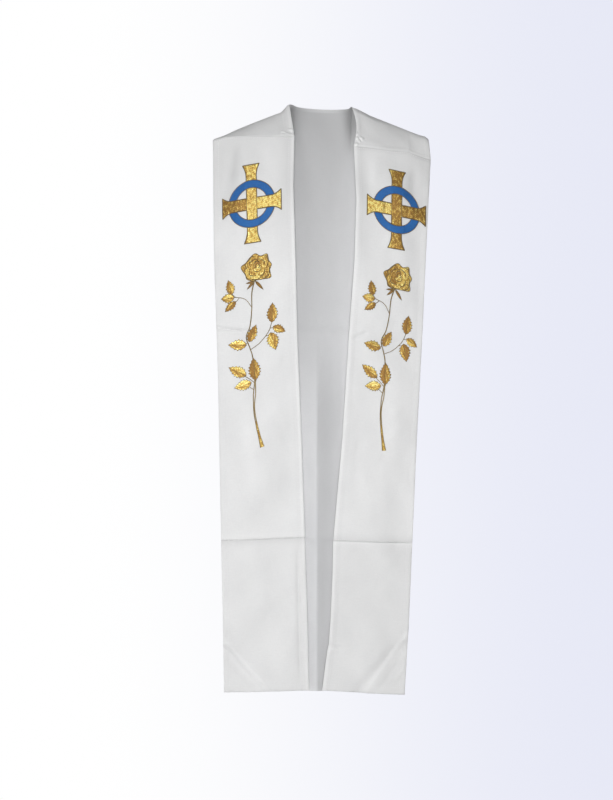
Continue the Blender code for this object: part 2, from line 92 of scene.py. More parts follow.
def unit(vectors: Array) -> Array:
    """Vectors brought to length 1."""
    return vectors / np.maximum(np.linalg.norm(vectors, axis=1), TINY)[:, None]


def turned_edge(
    distance: Array, height: Any, drop: float, width: float = 11.0, softness: float = 2.5,
) -> Array:
    """Relief of a pressed turning: a faint raised strip with a rolled border, in millimetres.

    Args:
        distance: how far each place lies from the edge.
        height: how far the strip stands out.
        drop: how far the border rolls in at the very edge.
        width: width of the strip.
        softness: width of the strip's soft step.

    Returns:
        How far each place stands out.
    """
    rolled = 2.6
    border = np.clip(1.0 - distance / rolled, 0.0, 1.0)
    return height * smooth((width - distance) / softness) - drop * border**2


@dataclass(frozen=True)
class FoldLine:
    """A drape fold along a straight line, in millimetres; a positive depth stands out."""

    x_top: float
    z_top: float
    x_end: float
    z_end: float
    depth: float
    half_width: float
    to_hem: bool
    fade: float = 0.25

    def height(self, x: Array, z: Array) -> Array:
        """How far the fold lifts the cloth.

        Args:
            x: sideways places.
            z: heights.

        Returns:
            The lift at each place.
        """
        run = (self.z_top - z) / (self.z_top - self.z_end)
        line = self.x_top + (self.x_end - self.x_top) * np.minimum(run, 1.0)
        strength = smooth(run / self.fade)
        if not self.to_hem:
            strength = strength * smooth((1.0 - run) / self.fade)
        return self.depth * strength * bump(x - line, self.half_width)


@dataclass(frozen=True)
class Crease:
    """A short pressed line from one point to another, in millimetres; a positive height stands out."""

    start: Pair
    end: Pair
    height: float
    half_width: float
    fade: float = 0.3

    def lift(self, a: Array, b: Array) -> Array:
        """How far the crease lifts the cloth.

        Args:
            a: first coordinates of the places.
            b: second coordinates of the places.

        Returns:
            The lift at each place.
        """
        along = np.array(self.end, float) - np.array(self.start, float)
        length = float(np.hypot(*along))
        along = along / length
        run = ((a - self.start[0]) * along[0] + (b - self.start[1]) * along[1]) / length
        aside = (a - self.start[0]) * along[1] - (b - self.start[1]) * along[0]
        ends = smooth(run / self.fade) * smooth((1.0 - run) / self.fade)
        return self.height * ends * bump(aside, self.half_width)


class Undulation:
    """Slow unevenness of hanging cloth, from a few seeded waves."""

    def __init__(self, seed: int, waves: int, shortest: float, longest: float, depth: float) -> None:
        """Draws the waves.

        Args:
            seed: seed of the random draws.
            waves: how many waves are summed.
            shortest: shortest wave in millimetres.
            longest: longest wave in millimetres.
            depth: height of the sum in millimetres.
        """
        draw = random.Random(seed)
        slant = 0.55
        self.waves = []
        for _ in range(waves):
            length = draw.uniform(shortest, longest)
            turn = draw.gauss(0.0, slant)
            phase = draw.uniform(0.0, math.tau)
            self.waves.append((math.cos(turn) * math.tau / length, math.sin(turn) * math.tau / length, phase))
        self.depth = depth / math.sqrt(waves)

    def height(self, x: Array, z: Array) -> Array:
        """Height of the cloth's unevenness at each place."""
        return sum(np.sin(x * across + z * down + phase) for across, down, phase in self.waves) * self.depth


@dataclass
class BodyForm:
    """How far the garment stands from its middle plane."""

    half_width: float = 212.0
    middle_x: float = 2.0
    roundness: float = 2.2
    overhang: float = 1.05
    depths: dict[str, Array] = field(
        default_factory=lambda: table(
            ("z", "middle", "edge"),
            [(-1160, 35, 26), (-700, 42, 27), (-400, 50, 25), (-180, 57, 19), (-110, 57, 13), (-60, 54, 8)],
        )
    )

    def depth(self, x: Array, z: Array) -> Array:
        """Distance of the surface from the middle plane.

        Args:
            x: sideways places.
            z: heights.

        Returns:
            The distance at each place.
        """
        middle, edge = (np.interp(z, self.depths["z"], self.depths[name]) for name in ("middle", "edge"))
        across = np.minimum(np.abs(x - self.middle_x) / self.half_width, self.overhang)
        return middle + (edge - middle) * across**self.roundness


BODY = BodyForm()


@dataclass(kw_only=True)
class DrapedForm:
    """What the fronts and the back share: drape folds, pressed creases and the cloth's own unevenness."""

    folds: Sequence[FoldLine]
    creases: Sequence[Crease]
    seed: int
    slow_waves: Triple = (60.0, 170.0, 1.5)
    fine_waves: Triple = (18.0, 46.0, 0.22)
    side_drop: float = 0.75
    hem_height: float = 0.28
    hem_drop: float = 0.7
    hem_width: float = 13.0

    def __post_init__(self) -> None:
        """Draws the form's own unevenness."""
        self.slow = Undulation(self.seed, 8, *self.slow_waves)
        self.fine = Undulation(self.seed + 50, 9, *self.fine_waves)

    def folded(self, x: Array, z: Array) -> Array:
        """Distance of the folded cloth from the middle plane at each place."""
        return BODY.depth(x, z) + sum(fold.height(x, z) for fold in self.folds)

    def creased(self, x: Array, z: Array) -> Array:
        """How far all creases together lift the cloth at each place."""
        return sum(crease.lift(x, z) for crease in self.creases)

    def uneven(self, x: Array, z: Array) -> Array:
        """Slow and fine unevenness together at each place."""
        return self.slow.height(x, z) + self.fine.height(x, z)

    def hem_turning(self, above_hem: Array) -> Array:
        """Relief of the turned hem at each height above it."""
        return turned_edge(above_hem, self.hem_height, self.hem_drop, self.hem_width)


@dataclass(kw_only=True)
class FrontForm(DrapedForm):
    """Shape of one whole front, from the shoulder ridge to the hem; its painted shades run from 0 to 1, the
    deepest.
    """

    side: Side
    ridge: dict[str, Array]
    seam: dict[str, Array]
    edges: dict[str, Array]
    cross: Pair
    hem: Pair
    puckers: Sequence[Crease]
    cross_step: Pair
    strip: float
    bow: float
    # Strengths of painted shade along the ridge, the yoke seam, the upper and lower front and beside the
    # inner edge.
    ridge_shadow: float
    seam_shadow: float
    upper_shade: float
    lower_shade: float
    inner_shade: float
    bow_power: int = 10
    yoke_swell: float = 3.0
    yoke_full: float = 60.0
    seam_ease: float = 90.0
    upper_strip: float = 0.45
    seam_groove: Pair = (0.8, 2.2)
    ridge_groove: Pair = (0.8, 2.0)
    cross_groove: Pair = (0.7, 1.8)
    step_width: float = 13.0
    # Strengths of the painted shade and painted light laid into the cloth's colour.
    plain_shade: float = 0.20
    yoke_shade: float = 0.20
    strip_light: float = 0.13
    strip_shadow: float = 0.06
    slow_shade: float = 0.028
    crease_shade: float = 0.055
    pucker_shade: float = 0.10
    seam_line_shade: float = 0.14
    cross_line_shade: float = 0.17
    cross_step_shade: float = 0.15
    cross_light: float = 0.16
    yoke_slope: float = 1.4

    def span(self, line: dict[str, Array], u: Array) -> Array:
        """Sideways place along a ridge or seam table, 0 at its outer and 1 at its inner end."""
        outer, inner = (line["x"][end] for end in ((0, -1) if self.side is Side.RIGHT else (-1, 0)))
        return outer + (inner - outer) * u

    def side_edges(self, z: Array) -> Sequence[Array]:
        """Sideways places of the outer and the inner edge at a height."""
        return [np.interp(z, self.edges["z"], self.edges[name]) for name in ("outer", "inner")]

    def edge_x(self, u: Array, z: Array) -> Array:
        """Sideways place of a column between the two side edges."""
        outer, inner = self.side_edges(z)
        return outer + (inner - outer) * u

    def column_at(self, x: Array, z: Array) -> Array:
        """Column of a place on the front, 0 at the outer and 1 at the inner edge."""
        outer, inner = self.side_edges(z)
        return (x - outer) / (inner - outer)

    def width_at(self, z: Array) -> Array:
        """Width of the front at a height."""
        outer, inner = self.side_edges(z)
        return np.abs(inner - outer)

    def ridge_z(self, x: Array) -> Array:
        """Height of the shoulder ridge at a sideways place."""
        return np.interp(x, self.ridge["x"], self.ridge["z"])

    def seam_z(self, u: Array) -> Array:
        """Height of the yoke seam at a column."""
        return np.interp(self.span(self.seam, u), self.seam["x"], self.seam["z"])

    def cross_z(self, u: Array) -> Array:
        """Height of the cross seam at a column."""
        return self.cross[0] + (self.cross[1] - self.cross[0]) * u

    def hem_z(self, u: Array) -> Array:
        """Height of the hem at a column."""
        return self.hem[0] + (self.hem[1] - self.hem[0]) * u

    def edge_relief(self, from_inner: Array, from_outer: Array, strip: Any) -> Array:
        """Pressed turnings along the two side edges, the inner one crisper."""
        inner = turned_edge(from_inner, strip, self.side_drop, softness=2.2)
        return inner + turned_edge(from_outer, 0.6 * strip, self.side_drop, softness=3.0)

    def relief(self, x: Array, z: Array) -> Array:
        """Small forms of the front and its lower end.

        Args:
            x: sideways places.
            z: heights.

        Returns:
            How far each place stands outwards.
        """
        u, width = self.column_at(x, z), self.width_at(z)
        cross = z - self.cross_z(u)
        below = cross < 0.0
        (seam_depth, seam_width), (cross_depth, cross_width) = self.seam_groove, self.cross_groove
        total = self.edge_relief((1.0 - u) * width, u * width, np.where(below, self.strip, self.upper_strip))
        total -= seam_depth * bump(z - self.seam_z(np.clip(u, 0.0, 1.0)), seam_width)
        total -= cross_depth * bump(cross, cross_width)
        total += np.where(below, self.cross_step[1], self.cross_step[0]) * bump(cross, self.step_width)
        return total + self.hem_turning(z - self.hem_z(u)) + self.creased(x, z) + self.uneven(x, z)

    def front_y(self, x: Array, z: Array) -> Array:
        """Depth of the finished middle surface."""
        return -self.folded(x, z) - self.relief(x, z)

    def yoke_points(self, u: Array, v: Array) -> Array:
        """Points of the yoke's middle surface.

        Args:
            u: columns, 0 at the outer edge and 1 at the inner edge.
            v: rows, 0 at the ridge and 1 at the seam.

        Returns:
            One point in millimetres for each pair.
        """
        ridge_x, seam_x, seam_z = self.span(self.ridge, u), self.span(self.seam, u), self.seam_z(u)
        ridge_z = self.ridge_z(ridge_x) - RIDGE_DROP
        ridge = np.stack([ridge_x, np.zeros_like(u), ridge_z], axis=1)
        run = np.stack([seam_x, -self.folded(seam_x, seam_z), seam_z], axis=1) - ridge
        length = np.linalg.norm(run, axis=1)
        out = unit(np.stack([np.zeros_like(u), run[:, 2], -run[:, 1]], axis=1))
        fullness = np.minimum(1.0, length / self.yoke_full)
        width = abs(self.ridge["x"][-1] - self.ridge["x"][0])
        from_inner, from_ridge, from_seam = (1.0 - u) * width, v * length, (1.0 - v) * length
        (seam_depth, seam_width), (ridge_depth, ridge_width) = self.seam_groove, self.ridge_groove
        swell = self.yoke_swell * fullness * np.sin(np.pi * v)
        swell += self.edge_relief(from_inner, u * width, self.upper_strip)
        swell -= seam_depth * bump(from_seam, seam_width) + ridge_depth * bump(from_ridge, ridge_width)
        swell += sum(pucker.lift(from_inner, from_seam) for pucker in self.puckers)
        wave = self.slow.height(ridge_x, ridge_z - from_ridge) + self.fine.height(ridge_x, -from_ridge)
        swell += wave * fullness * smooth(v * 6.0) * smooth((1.0 - v) * 6.0)
        points = ridge + run * v[:, None] + out * swell[:, None]
        points[:, 0] += self.bow * np.sin(np.pi * v) * u**self.bow_power
        return points

    def panel_points(self, zone: Zone, u: Array, v: Array) -> Array:
        """Points of a panel's middle surface.

        Args:
            zone: which of the three panels.
            u: columns, 0 at the outer edge and 1 at the inner edge.
            v: rows, 0 at the panel's top and 1 at its bottom.

        Returns:
            One point in millimetres for each pair.
        """
        if zone is Zone.YOKE:
            return self.yoke_points(u, v)
        rows = (self.seam_z, self.cross_z) if zone is Zone.FRONT else (self.cross_z, self.hem_z)
        top, low = (row(u) for row in rows)
        z = top + (low - top) * v
        near = smooth((z - self.seam_z(u) + self.seam_ease) / self.seam_ease)
        x = self.edge_x(u, z) + (self.span(self.seam, u) - self.edge_x(u, self.seam_z(u))) * near
        return np.stack([x, self.front_y(x, z), z], axis=1)

    def dim(self, zone: Zone, u: Array, v: Array, points: Array) -> Array:
        """How much painted shade the cloth gets: painted light on the pressed strips, painted shade in seams
        and creases.

        Args:
            zone: which of the three panels.
            u: columns, 0 at the outer edge and 1 at the inner edge.
            v: rows, 0 at the panel's top and 1 at its bottom.
            points: the places in millimetres.

        Returns:
            The shade of each place, from 0 to 1.
        """
        x, z = points[:, 0], points[:, 2]
        from_inner = (1.0 - u) * self.width_at(z)
        total = self.plain_shade - self.strip_light * smooth((7.5 - from_inner) / 2.5)
        total += self.strip_shadow * bump(from_inner - 12.0, 3.0) - self.slow_shade * self.slow.height(x, z)
        below_seam = self.seam_z(u) - z
        if zone is Zone.YOKE:
            length = np.abs(self.seam_z(u) - self.ridge_z(x)) * self.yoke_slope
            from_seam = (1.0 - v) * length
            total -= self.pucker_shade * sum(pucker.lift(from_inner, from_seam) for pucker in self.puckers)
            toward_neck = 0.45 + 0.55 * smooth((0.95 - u) / 0.2)
            total += self.ridge_shadow * bump(v * length, 11.0) * toward_neck
            total -= 0.5 * self.seam_shadow * bump(from_seam - 2.6, 2.2)
            total += self.upper_shade * (smooth((z + 300.0) / 180.0) - 1.0)
            return np.clip(total + self.yoke_shade + 0.08 * smooth(v * 8.0 - 7.0), 0.0, 1.0)
        cross = z - self.cross_z(u)
        above, below = self.cross_step
        total += self.upper_shade * smooth((z + 300.0) / 180.0) + self.lower_shade * (cross < 0.0)
        total += self.inner_shade * bump(from_inner - 14.0, 12.0) * smooth((z + 330.0) / 180.0)
        total += self.cross_line_shade * bump(cross, 3.0)
        total -= self.cross_step_shade * np.where(cross < 0.0, below, above) * bump(cross, 11.0)
        light = self.cross_light * (below > 0.0) * bump(cross + 3.4, 1.5)
        total -= light + self.crease_shade * self.creased(x, z)
        toward_shoulder = 0.35 + 0.65 * smooth((0.3 - u) / 0.12)
        total += self.seam_shadow * bump(below_seam - 3.0, 4.5) * toward_shoulder
        return np.clip(total + self.seam_line_shade * bump(below_seam, 2.0), 0.0, 1.0)

    def place(self, x: Array, z: Array, height: Array) -> Array:
        """Points that stand outside the middle surface.

        Args:
            x: sideways places on the front.
            z: heights on the front.
            height: how far each point stands out.

        Returns:
            The points in millimetres.
        """
        step = 1.0
        dx = (self.front_y(x + step, z) - self.front_y(x - step, z)) / (2.0 * step)
        dz = (self.front_y(x, z + step) - self.front_y(x, z - step)) / (2.0 * step)
        normal = unit(np.stack([dx, -np.ones_like(dx), dz], axis=1))
        return np.stack([x, self.front_y(x, z), z], axis=1) + normal * height[:, None]


def right_form() -> FrontForm:
    """Shapes the wearer's right front.

    Returns:
        Its form, with every line and crease in millimetres.
    """
    return FrontForm(
        side=Side.RIGHT,
        ridge=table(
            ("x", "z"),
            [
                (-211, -69), (-208, -66), (-188, -58.5), (-168, -48.5), (-149, -40.5), (-129, -32.5),
                (-109, -25), (-89, -17), (-77, -13), (-71, -7), (-65, 0), (-61, 3),
            ],
        ),
        seam=table(("x", "z"), [(-211.5, -71.5), (-187, -66), (-167, -65.5), (-108, -67.5), (-50, -69.5)]),
        edges=table(
            ("z", "outer", "inner"),
            [
                (-1157, -189, -21.5), (-1020, -191, -24.5), (-860, -194.4, -29.5), (-663, -198.4, -36),
                (-543, -200.4, -41), (-467, -202.8, -44), (-310, -208.5, -48), (-165, -210.5, -52),
                (-70, -211.5, -50),
            ],
        ),
        cross=(-861.5, -854.0),
        hem=(-1160.5, -1155.5),
        folds=[
            FoldLine(-190, -80, -178, -300, -2.6, 20, False),
            FoldLine(-150, -560, -120, -1160, 2.2, 34, True),
            FoldLine(-60, -90, -66, -520, 1.6, 22, False),
            FoldLine(-196, -1060, -100, -1160, -3.0, 16, True),
            FoldLine(-178, -640, -168, -1060, -2.0, 24, False),
        ],
        creases=[
            Crease((-214, -442), (-150, -450), -3.2, 3.4, 0.10),
            Crease((-170, -447), (-90, -452), -1.3, 5.0, 0.25),
            Crease((-206, -436), (-110, -440), 1.0, 7.0, 0.3),
            Crease((-196, -1052), (-92, -1166), 2.6, 5.0, 0.15),
            Crease((-190, -1092), (-122, -1166), -1.2, 7.0, 0.25),
            Crease((-162, -70), (-178, -170), -2.6, 8.0, 0.35),
            Crease((-184, -80), (-194, -190), 1.4, 8.0, 0.35),
            Crease((-112, -74), (-98, -150), 1.2, 11.0, 0.4),
            Crease((-80, -150), (-70, -330), -1.1, 10.0, 0.4),
            Crease((-160, -520), (-130, -800), 1.3, 16.0, 0.4),
            Crease((-72, -560), (-64, -830), -1.2, 12.0, 0.4),
            Crease((-45, -862), (-39, -1152), -2.4, 3.4, 0.24),
            Crease((-37, -866), (-31, -1150), 0.9, 3.6, 0.24),
            Crease((-44, -960), (-38, -992), -1.2, 2.6, 0.3),
        ],
        puckers=[
            Crease((1, 16), (9, 20), 1.8, 2.2),
            Crease((12, 11), (26, 13), 1.5, 1.9),
            Crease((9, 5), (16, 9), 1.3, 1.8),
            Crease((18, 5), (28, 7), 1.2, 1.8),
            Crease((3, 8), (6, 12), -1.4, 2.2),
        ],
        cross_step=(0.7, -1.6),
        strip=0.7,
        bow=0.0,
        ridge_shadow=0.24,
        seam_shadow=0.0,
        upper_shade=0.30,
        lower_shade=0.02,
        inner_shade=0.09,
        seed=11,
    )


def left_form() -> FrontForm:
    """Shapes the wearer's left front.

    Returns:
        Its form, with every line and crease in millimetres.
    """
    return FrontForm(
        side=Side.LEFT,
        ridge=table(
            ("x", "z"),
            [
                (64, -3), (70, -5), (76, -7), (84, -11), (99, -19), (119, -27),
                (139, -35), (159, -43), (179, -51), (195, -57), (208, -60.5), (215, -66),
            ],
        ),
        seam=table(
            ("x", "z"),
            [(66, -88), (90, -90), (137, -94.5), (175, -95), (181, -98.5), (212, -108), (219, -109)],
        ),
        edges=table(
            ("z", "outer", "inner"),
            [
                (-1157, 167, 4), (-1090, 170.9, 12.6), (-1076, 171.7, 14.4), (-1066, 172.3, 17),
                (-1020, 175, 20.4), (-940, 178.5, 24), (-860, 182, 26), (-663, 190.5, 43.5), (-467, 201, 56),
                (-310, 208.5, 67.5), (-190, 214.5, 71), (-109, 219, 67), (-88, 219, 66),
            ],
        ),
        cross=(-866.5, -861.0),
        hem=(-1165.0, -1155.5),
        folds=[
            FoldLine(192, -112, 192, -450, -3.0, 20, False),
            FoldLine(128, -560, 96, -1160, 2.2, 34, True),
            FoldLine(86, -110, 88, -520, 1.6, 22, False),
            FoldLine(174, -1050, 74, -1160, -3.0, 16, True),
            FoldLine(170, -620, 150, -1050, -2.2, 24, False),
        ],
        creases=[
            Crease((60, -466), (96, -450), -2.6, 3.6, 0.3),
            Crease((180, -1034), (84, -1166), 1.5, 5.0, 0.12),
            Crease((184, -1058), (104, -1168), -1.0, 6.0, 0.2),
            Crease((172, -1080), (152, -1104), 1.0, 3.0, 0.3),
            Crease((168, -1108), (146, -1138), 0.9, 3.0, 0.3),
            Crease((12, -1062), (46, -1074), -1.6, 3.2, 0.35),
            Crease((14, -1074), (40, -1078), 1.2, 3.2, 0.35),
            Crease((186, -116), (178, -210), -2.0, 10.0, 0.35),
            Crease((110, -96), (104, -190), 1.4, 10.0, 0.4),
            Crease((92, -220), (90, -420), -1.1, 10.0, 0.4),
            Crease((150, -500), (132, -800), 1.2, 16.0, 0.4),
            Crease((80, -560), (62, -830), -1.1, 12.0, 0.4),
            Crease((200, -300), (190, -520), -1.2, 9.0, 0.4),
        ],
        puckers=[
            Crease((4, 34), (1, 26), 1.8, 2.0),
            Crease((1, 22), (13, 8), 1.9, 2.0),
            Crease((9, 25), (18, 12), 1.6, 1.9),
            Crease((1, 6), (8, 2), 1.8, 2.2),
            Crease((6, 18), (9, 12), -1.5, 2.2),
            Crease((13, 22), (20, 16), 1.2, 1.8),
        ],
        cross_step=(-1.3, 0.6),
        strip=0.5,
        bow=7.0,
        ridge_shadow=0.66,
        seam_shadow=0.26,
        upper_shade=0.18,
        lower_shade=0.10,
        inner_shade=0.24,
        seed=23,
    )


@dataclass(kw_only=True)
class BackForm(DrapedForm):
    """Shape of the full-length back, from the ridges and the neckline to the hem."""

    right: FrontForm
    left: FrontForm
    folds: Sequence[FoldLine] = (
        FoldLine(0, -330, -6, -1167, -6.0, 17, True),
        FoldLine(-96, -150, -84, -1167, 4.0, 24, True),
        FoldLine(-150, -420, -136, -1167, -4.0, 20, True),
        FoldLine(92, -140, 70, -1167, 4.5, 24, True),
        FoldLine(150, -380, 120, -1167, -4.5, 20, True),
        FoldLine(-36, -40, -44, -420, -2.5, 16, False),
        FoldLine(44, -40, 40, -380, -2.5, 16, False),
    )
    creases: Sequence[Crease] = (
        Crease((-200, -440), (200, -446), -1.6, 6.0, 0.1),
        Crease((-196, -858), (188, -864), -1.2, 6.0, 0.1),
        Crease((-192, -1040), (-90, -1170), 2.2, 6.0, 0.15),
        Crease((176, -1030), (84, -1170), 2.2, 6.0, 0.15),
        Crease((-120, -60), (-150, -260), -2.2, 10.0, 0.35),
        Crease((118, -60), (150, -260), -2.2, 10.0, 0.35),
        Crease((-60, -200), (-40, -420), 1.8, 12.0, 0.4),
        Crease((70, -480), (30, -760), 1.8, 14.0, 0.4),
        Crease((-40, -640), (-70, -940), -1.6, 13.0, 0.4),
        Crease((110, -700), (96, -1000), -1.6, 12.0, 0.4),
    )
    seed: int = 37
    slow_waves: Triple = (70.0, 190.0, 1.5)
    fine_waves: Triple = (20.0, 50.0, 0.22)
    inset: float = 3.0
    neck_y: float = 52.0
    neck_rise: float = 1.6
    corner_rise: float = 3.2
    neck_angles: Sequence[float] = (0.0, 15.0, 35.0, 60.0, 90.0, 120.0, 145.0, 165.0, 180.0)
    low_top: float = -170.0
    hem: float = -1167.0
    top_share: float = 0.16
    bend_x: float = 0.25
    slope: float = 0.9
    drop: float = 6.0
    side_height: float = 0.25
    top_height: float = 0.3
    calm_reach: float = 40.0
    # Painted shade of the inner face by height, and the strengths of its painted shade and painted light.
    shade_z: Sequence[float] = (-760.0, -390.0, -240.0, -100.0, -30.0)
    shade: Sequence[float] = (0.28, 0.57, 0.64, 0.89, 1.06)
    shade_scale: float = 0.633
    flank_shade: float = 0.42
    flank_light: float = 0.30
    corner_shades: Pair = (0.24, 0.40)
    neckline_light: float = 0.19
    crease_shade: float = 0.02

    def dim(self, share: Array, v: Array, points: Array) -> Array:
        """Painted shade of the inner face: deeper towards the neck and on one flank of the middle ridge,
        lighter on the other.

        Args:
            share: columns, 0 at the wearer's right edge and 1 at the left edge.
            v: rows, 0 at the top edge and 1 at the hem; not used.
            points: the places in millimetres.

        Returns:
            The shade of each place, from 0 to 1.
        """
        x, z = points[:, 0], points[:, 2]
        from_top = np.linalg.norm(points - self.top_edge(share), axis=1)
        flank = smooth((x + 8.0) / 5.0) * smooth((60.0 - x) / 20.0)
        low = smooth((-420.0 - z) / 240.0)
        total = np.interp(z, self.shade_z, self.shade)
        total += low * (self.flank_shade * flank - self.flank_light * (1.0 - flank))
        total *= self.shade_scale * smooth(from_top / 40.0 + 0.85)
        right, left = self.corner_shades
        total += (right * bump(x + 58.0, 12.0) + left * bump(x - 64.0, 13.0)) * smooth((z + 110.0) / 90.0)
        total -= self.neckline_light * smooth((8.0 - from_top) / 3.0) * bump(x, 44.0)
        return np.clip(total - self.crease_shade * self.creased(x, z), 0.0, 1.0)

    def edge_x(self, share: Array, z: Array) -> Array:
        """Sideways place of a column of the back at a height."""
        right, left = self.right.side_edges(z)[0] + self.inset, self.left.side_edges(z)[0] - self.inset
        return right + (left - right) * share

    def top_edge(self, share: Array) -> Array:
        """Points of the ridges and the neckline.

        Args:
            share: columns, 0 at the wearer's right edge and 1 at the left edge.

        Returns:
            One point in millimetres for each column.
        """
        first, neck_right = self.right.ridge["x"][0], self.right.ridge["x"][-1]
        neck_left, last = self.left.ridge["x"][0], self.left.ridge["x"][-1]
        x = first + (last - first) * share
        ridge_z = np.where(x < 0.0, self.right.ridge_z(x), self.left.ridge_z(x))
        step = np.clip((x - neck_right) / (neck_left - neck_right), 0.0, 1.0)
        turn = np.radians(np.interp(step, np.linspace(0.0, 1.0, len(self.neck_angles)), self.neck_angles))
        middle, half = (neck_left + neck_right) / 2.0, (neck_left - neck_right) / 2.0
        start, end = self.right.ridge["z"][-1], self.left.ridge["z"][0]
        neck_z = start + (end - start) * (1.0 - np.cos(turn)) / 2.0 + self.neck_rise * np.sin(turn)
        neck_z += self.corner_rise * (bump(turn - 0.42, 0.26) + bump(turn - 2.92, 0.17))
        on_neck = ((step > 0.0) & (step < 1.0))[:, None]
        neck_x = middle - half * np.cos(turn)
        neck = np.stack([neck_x, self.neck_y * np.sin(turn), neck_z - RIDGE_DROP], axis=1)
        return np.where(on_neck, neck, np.stack([x, np.zeros_like(x), ridge_z - RIDGE_DROP], axis=1))

    def relief(self, share: Array, x: Array, z: Array, from_top: Array) -> Array:
        """Small forms of the back.

        Args:
            share: columns, 0 at the wearer's right edge and 1 at the left edge.
            x: sideways places.
            z: heights.
            from_top: distances from the top edge.

        Returns:
            How far each place stands outwards.
        """
        width = np.abs(self.edge_x(np.ones_like(z), z) - self.edge_x(np.zeros_like(z), z))
        total = turned_edge(np.minimum(share, 1.0 - share) * width, self.side_height, self.side_drop)
        total += turned_edge(from_top, self.top_height, self.hem_drop) + self.hem_turning(z - self.hem)
        return total + (self.creased(x, z) + self.uneven(x, z)) * smooth(from_top / self.calm_reach)

    def points(self, share: Array, v: Array) -> Array:
        """Points of the back's middle surface.

        Args:
            share: columns, 0 at the wearer's right edge and 1 at the left edge.
            v: rows, 0 at the top edge and 1 at the hem.

        Returns:
            One point in millimetres for each pair.
        """
        top = self.top_edge(share)
        low_z = np.full_like(share, self.low_top)
        low_x = self.edge_x(share, low_z)
        low = np.stack([low_x, self.folded(low_x, low_z), low_z], axis=1)
        reach = np.maximum(BODY.depth(top[:, 0], top[:, 2]) - top[:, 1], 0.0)
        bend = np.zeros_like(top)
        bend[:, 0] = top[:, 0] + (low_x - top[:, 0]) * self.bend_x
        bend[:, 2] = top[:, 2] - self.slope * reach - self.drop
        bend[:, 1] = np.maximum(self.folded(bend[:, 0], bend[:, 2]), top[:, 1])
        t = np.clip(v / self.top_share, 0.0, 1.0)[:, None]
        curved = top * (1.0 - t) ** 2 + bend * 2.0 * t * (1.0 - t) + low * t * t
        down = np.clip((v - self.top_share) / (1.0 - self.top_share), 0.0, 1.0)
        z = self.low_top + (self.hem - self.low_top) * down
        x = self.edge_x(share, z)
        straight = np.stack([x, self.folded(x, z), z], axis=1)
        points = np.where((v < self.top_share)[:, None], curved, straight)
        lift = self.relief(share, points[:, 0], points[:, 2], np.linalg.norm(points - top, axis=1))
        upright = smooth(t[:, 0] * 1.5)
        points[:, 1] += lift * (0.3 + 0.7 * upright)
        points[:, 2] += lift * 0.5 * (1.0 - upright)
        return points


class Field:
    """A value socket that takes part in sums."""

    def __init__(self, paint: "Paint", socket: bpy.types.NodeSocket) -> None:
        """Keeps the socket and the node tree that it is in."""
        self.paint = paint
        self.socket = socket

    def math(self, operation: str, first: Any, second: Any = 0.0) -> "Field":
        """One Math node on two values."""
        return self.paint.value("ShaderNodeMath", {"operation": operation}, {0: first, 1: second}, "Value")

    def __add__(self, other: Any) -> "Field":
        """self + other."""
        return self.math("ADD", self, other)

    def __sub__(self, other: Any) -> "Field":
        """self - other."""
        return self.math("SUBTRACT", self, other)

    def __mul__(self, other: Any) -> "Field":
        """self * other."""
        return self.math("MULTIPLY", self, other)

    def __rsub__(self, other: Any) -> "Field":
        """other - self."""
        return self.math("SUBTRACT", other, self)

    __radd__ = __add__
    __rmul__ = __mul__

    def wave(self) -> "Field":
        """Sine of the value."""
        return self.math("SINE", self)

    def above(self, low: float, high: float) -> "Field":
        """A soft step, 0 below low and 1 above high."""
        ends = {"Value": self, "From Min": low, "From Max": high}
        return self.paint.value("ShaderNodeMapRange", {"interpolation_type": "SMOOTHSTEP"}, ends, "Result")


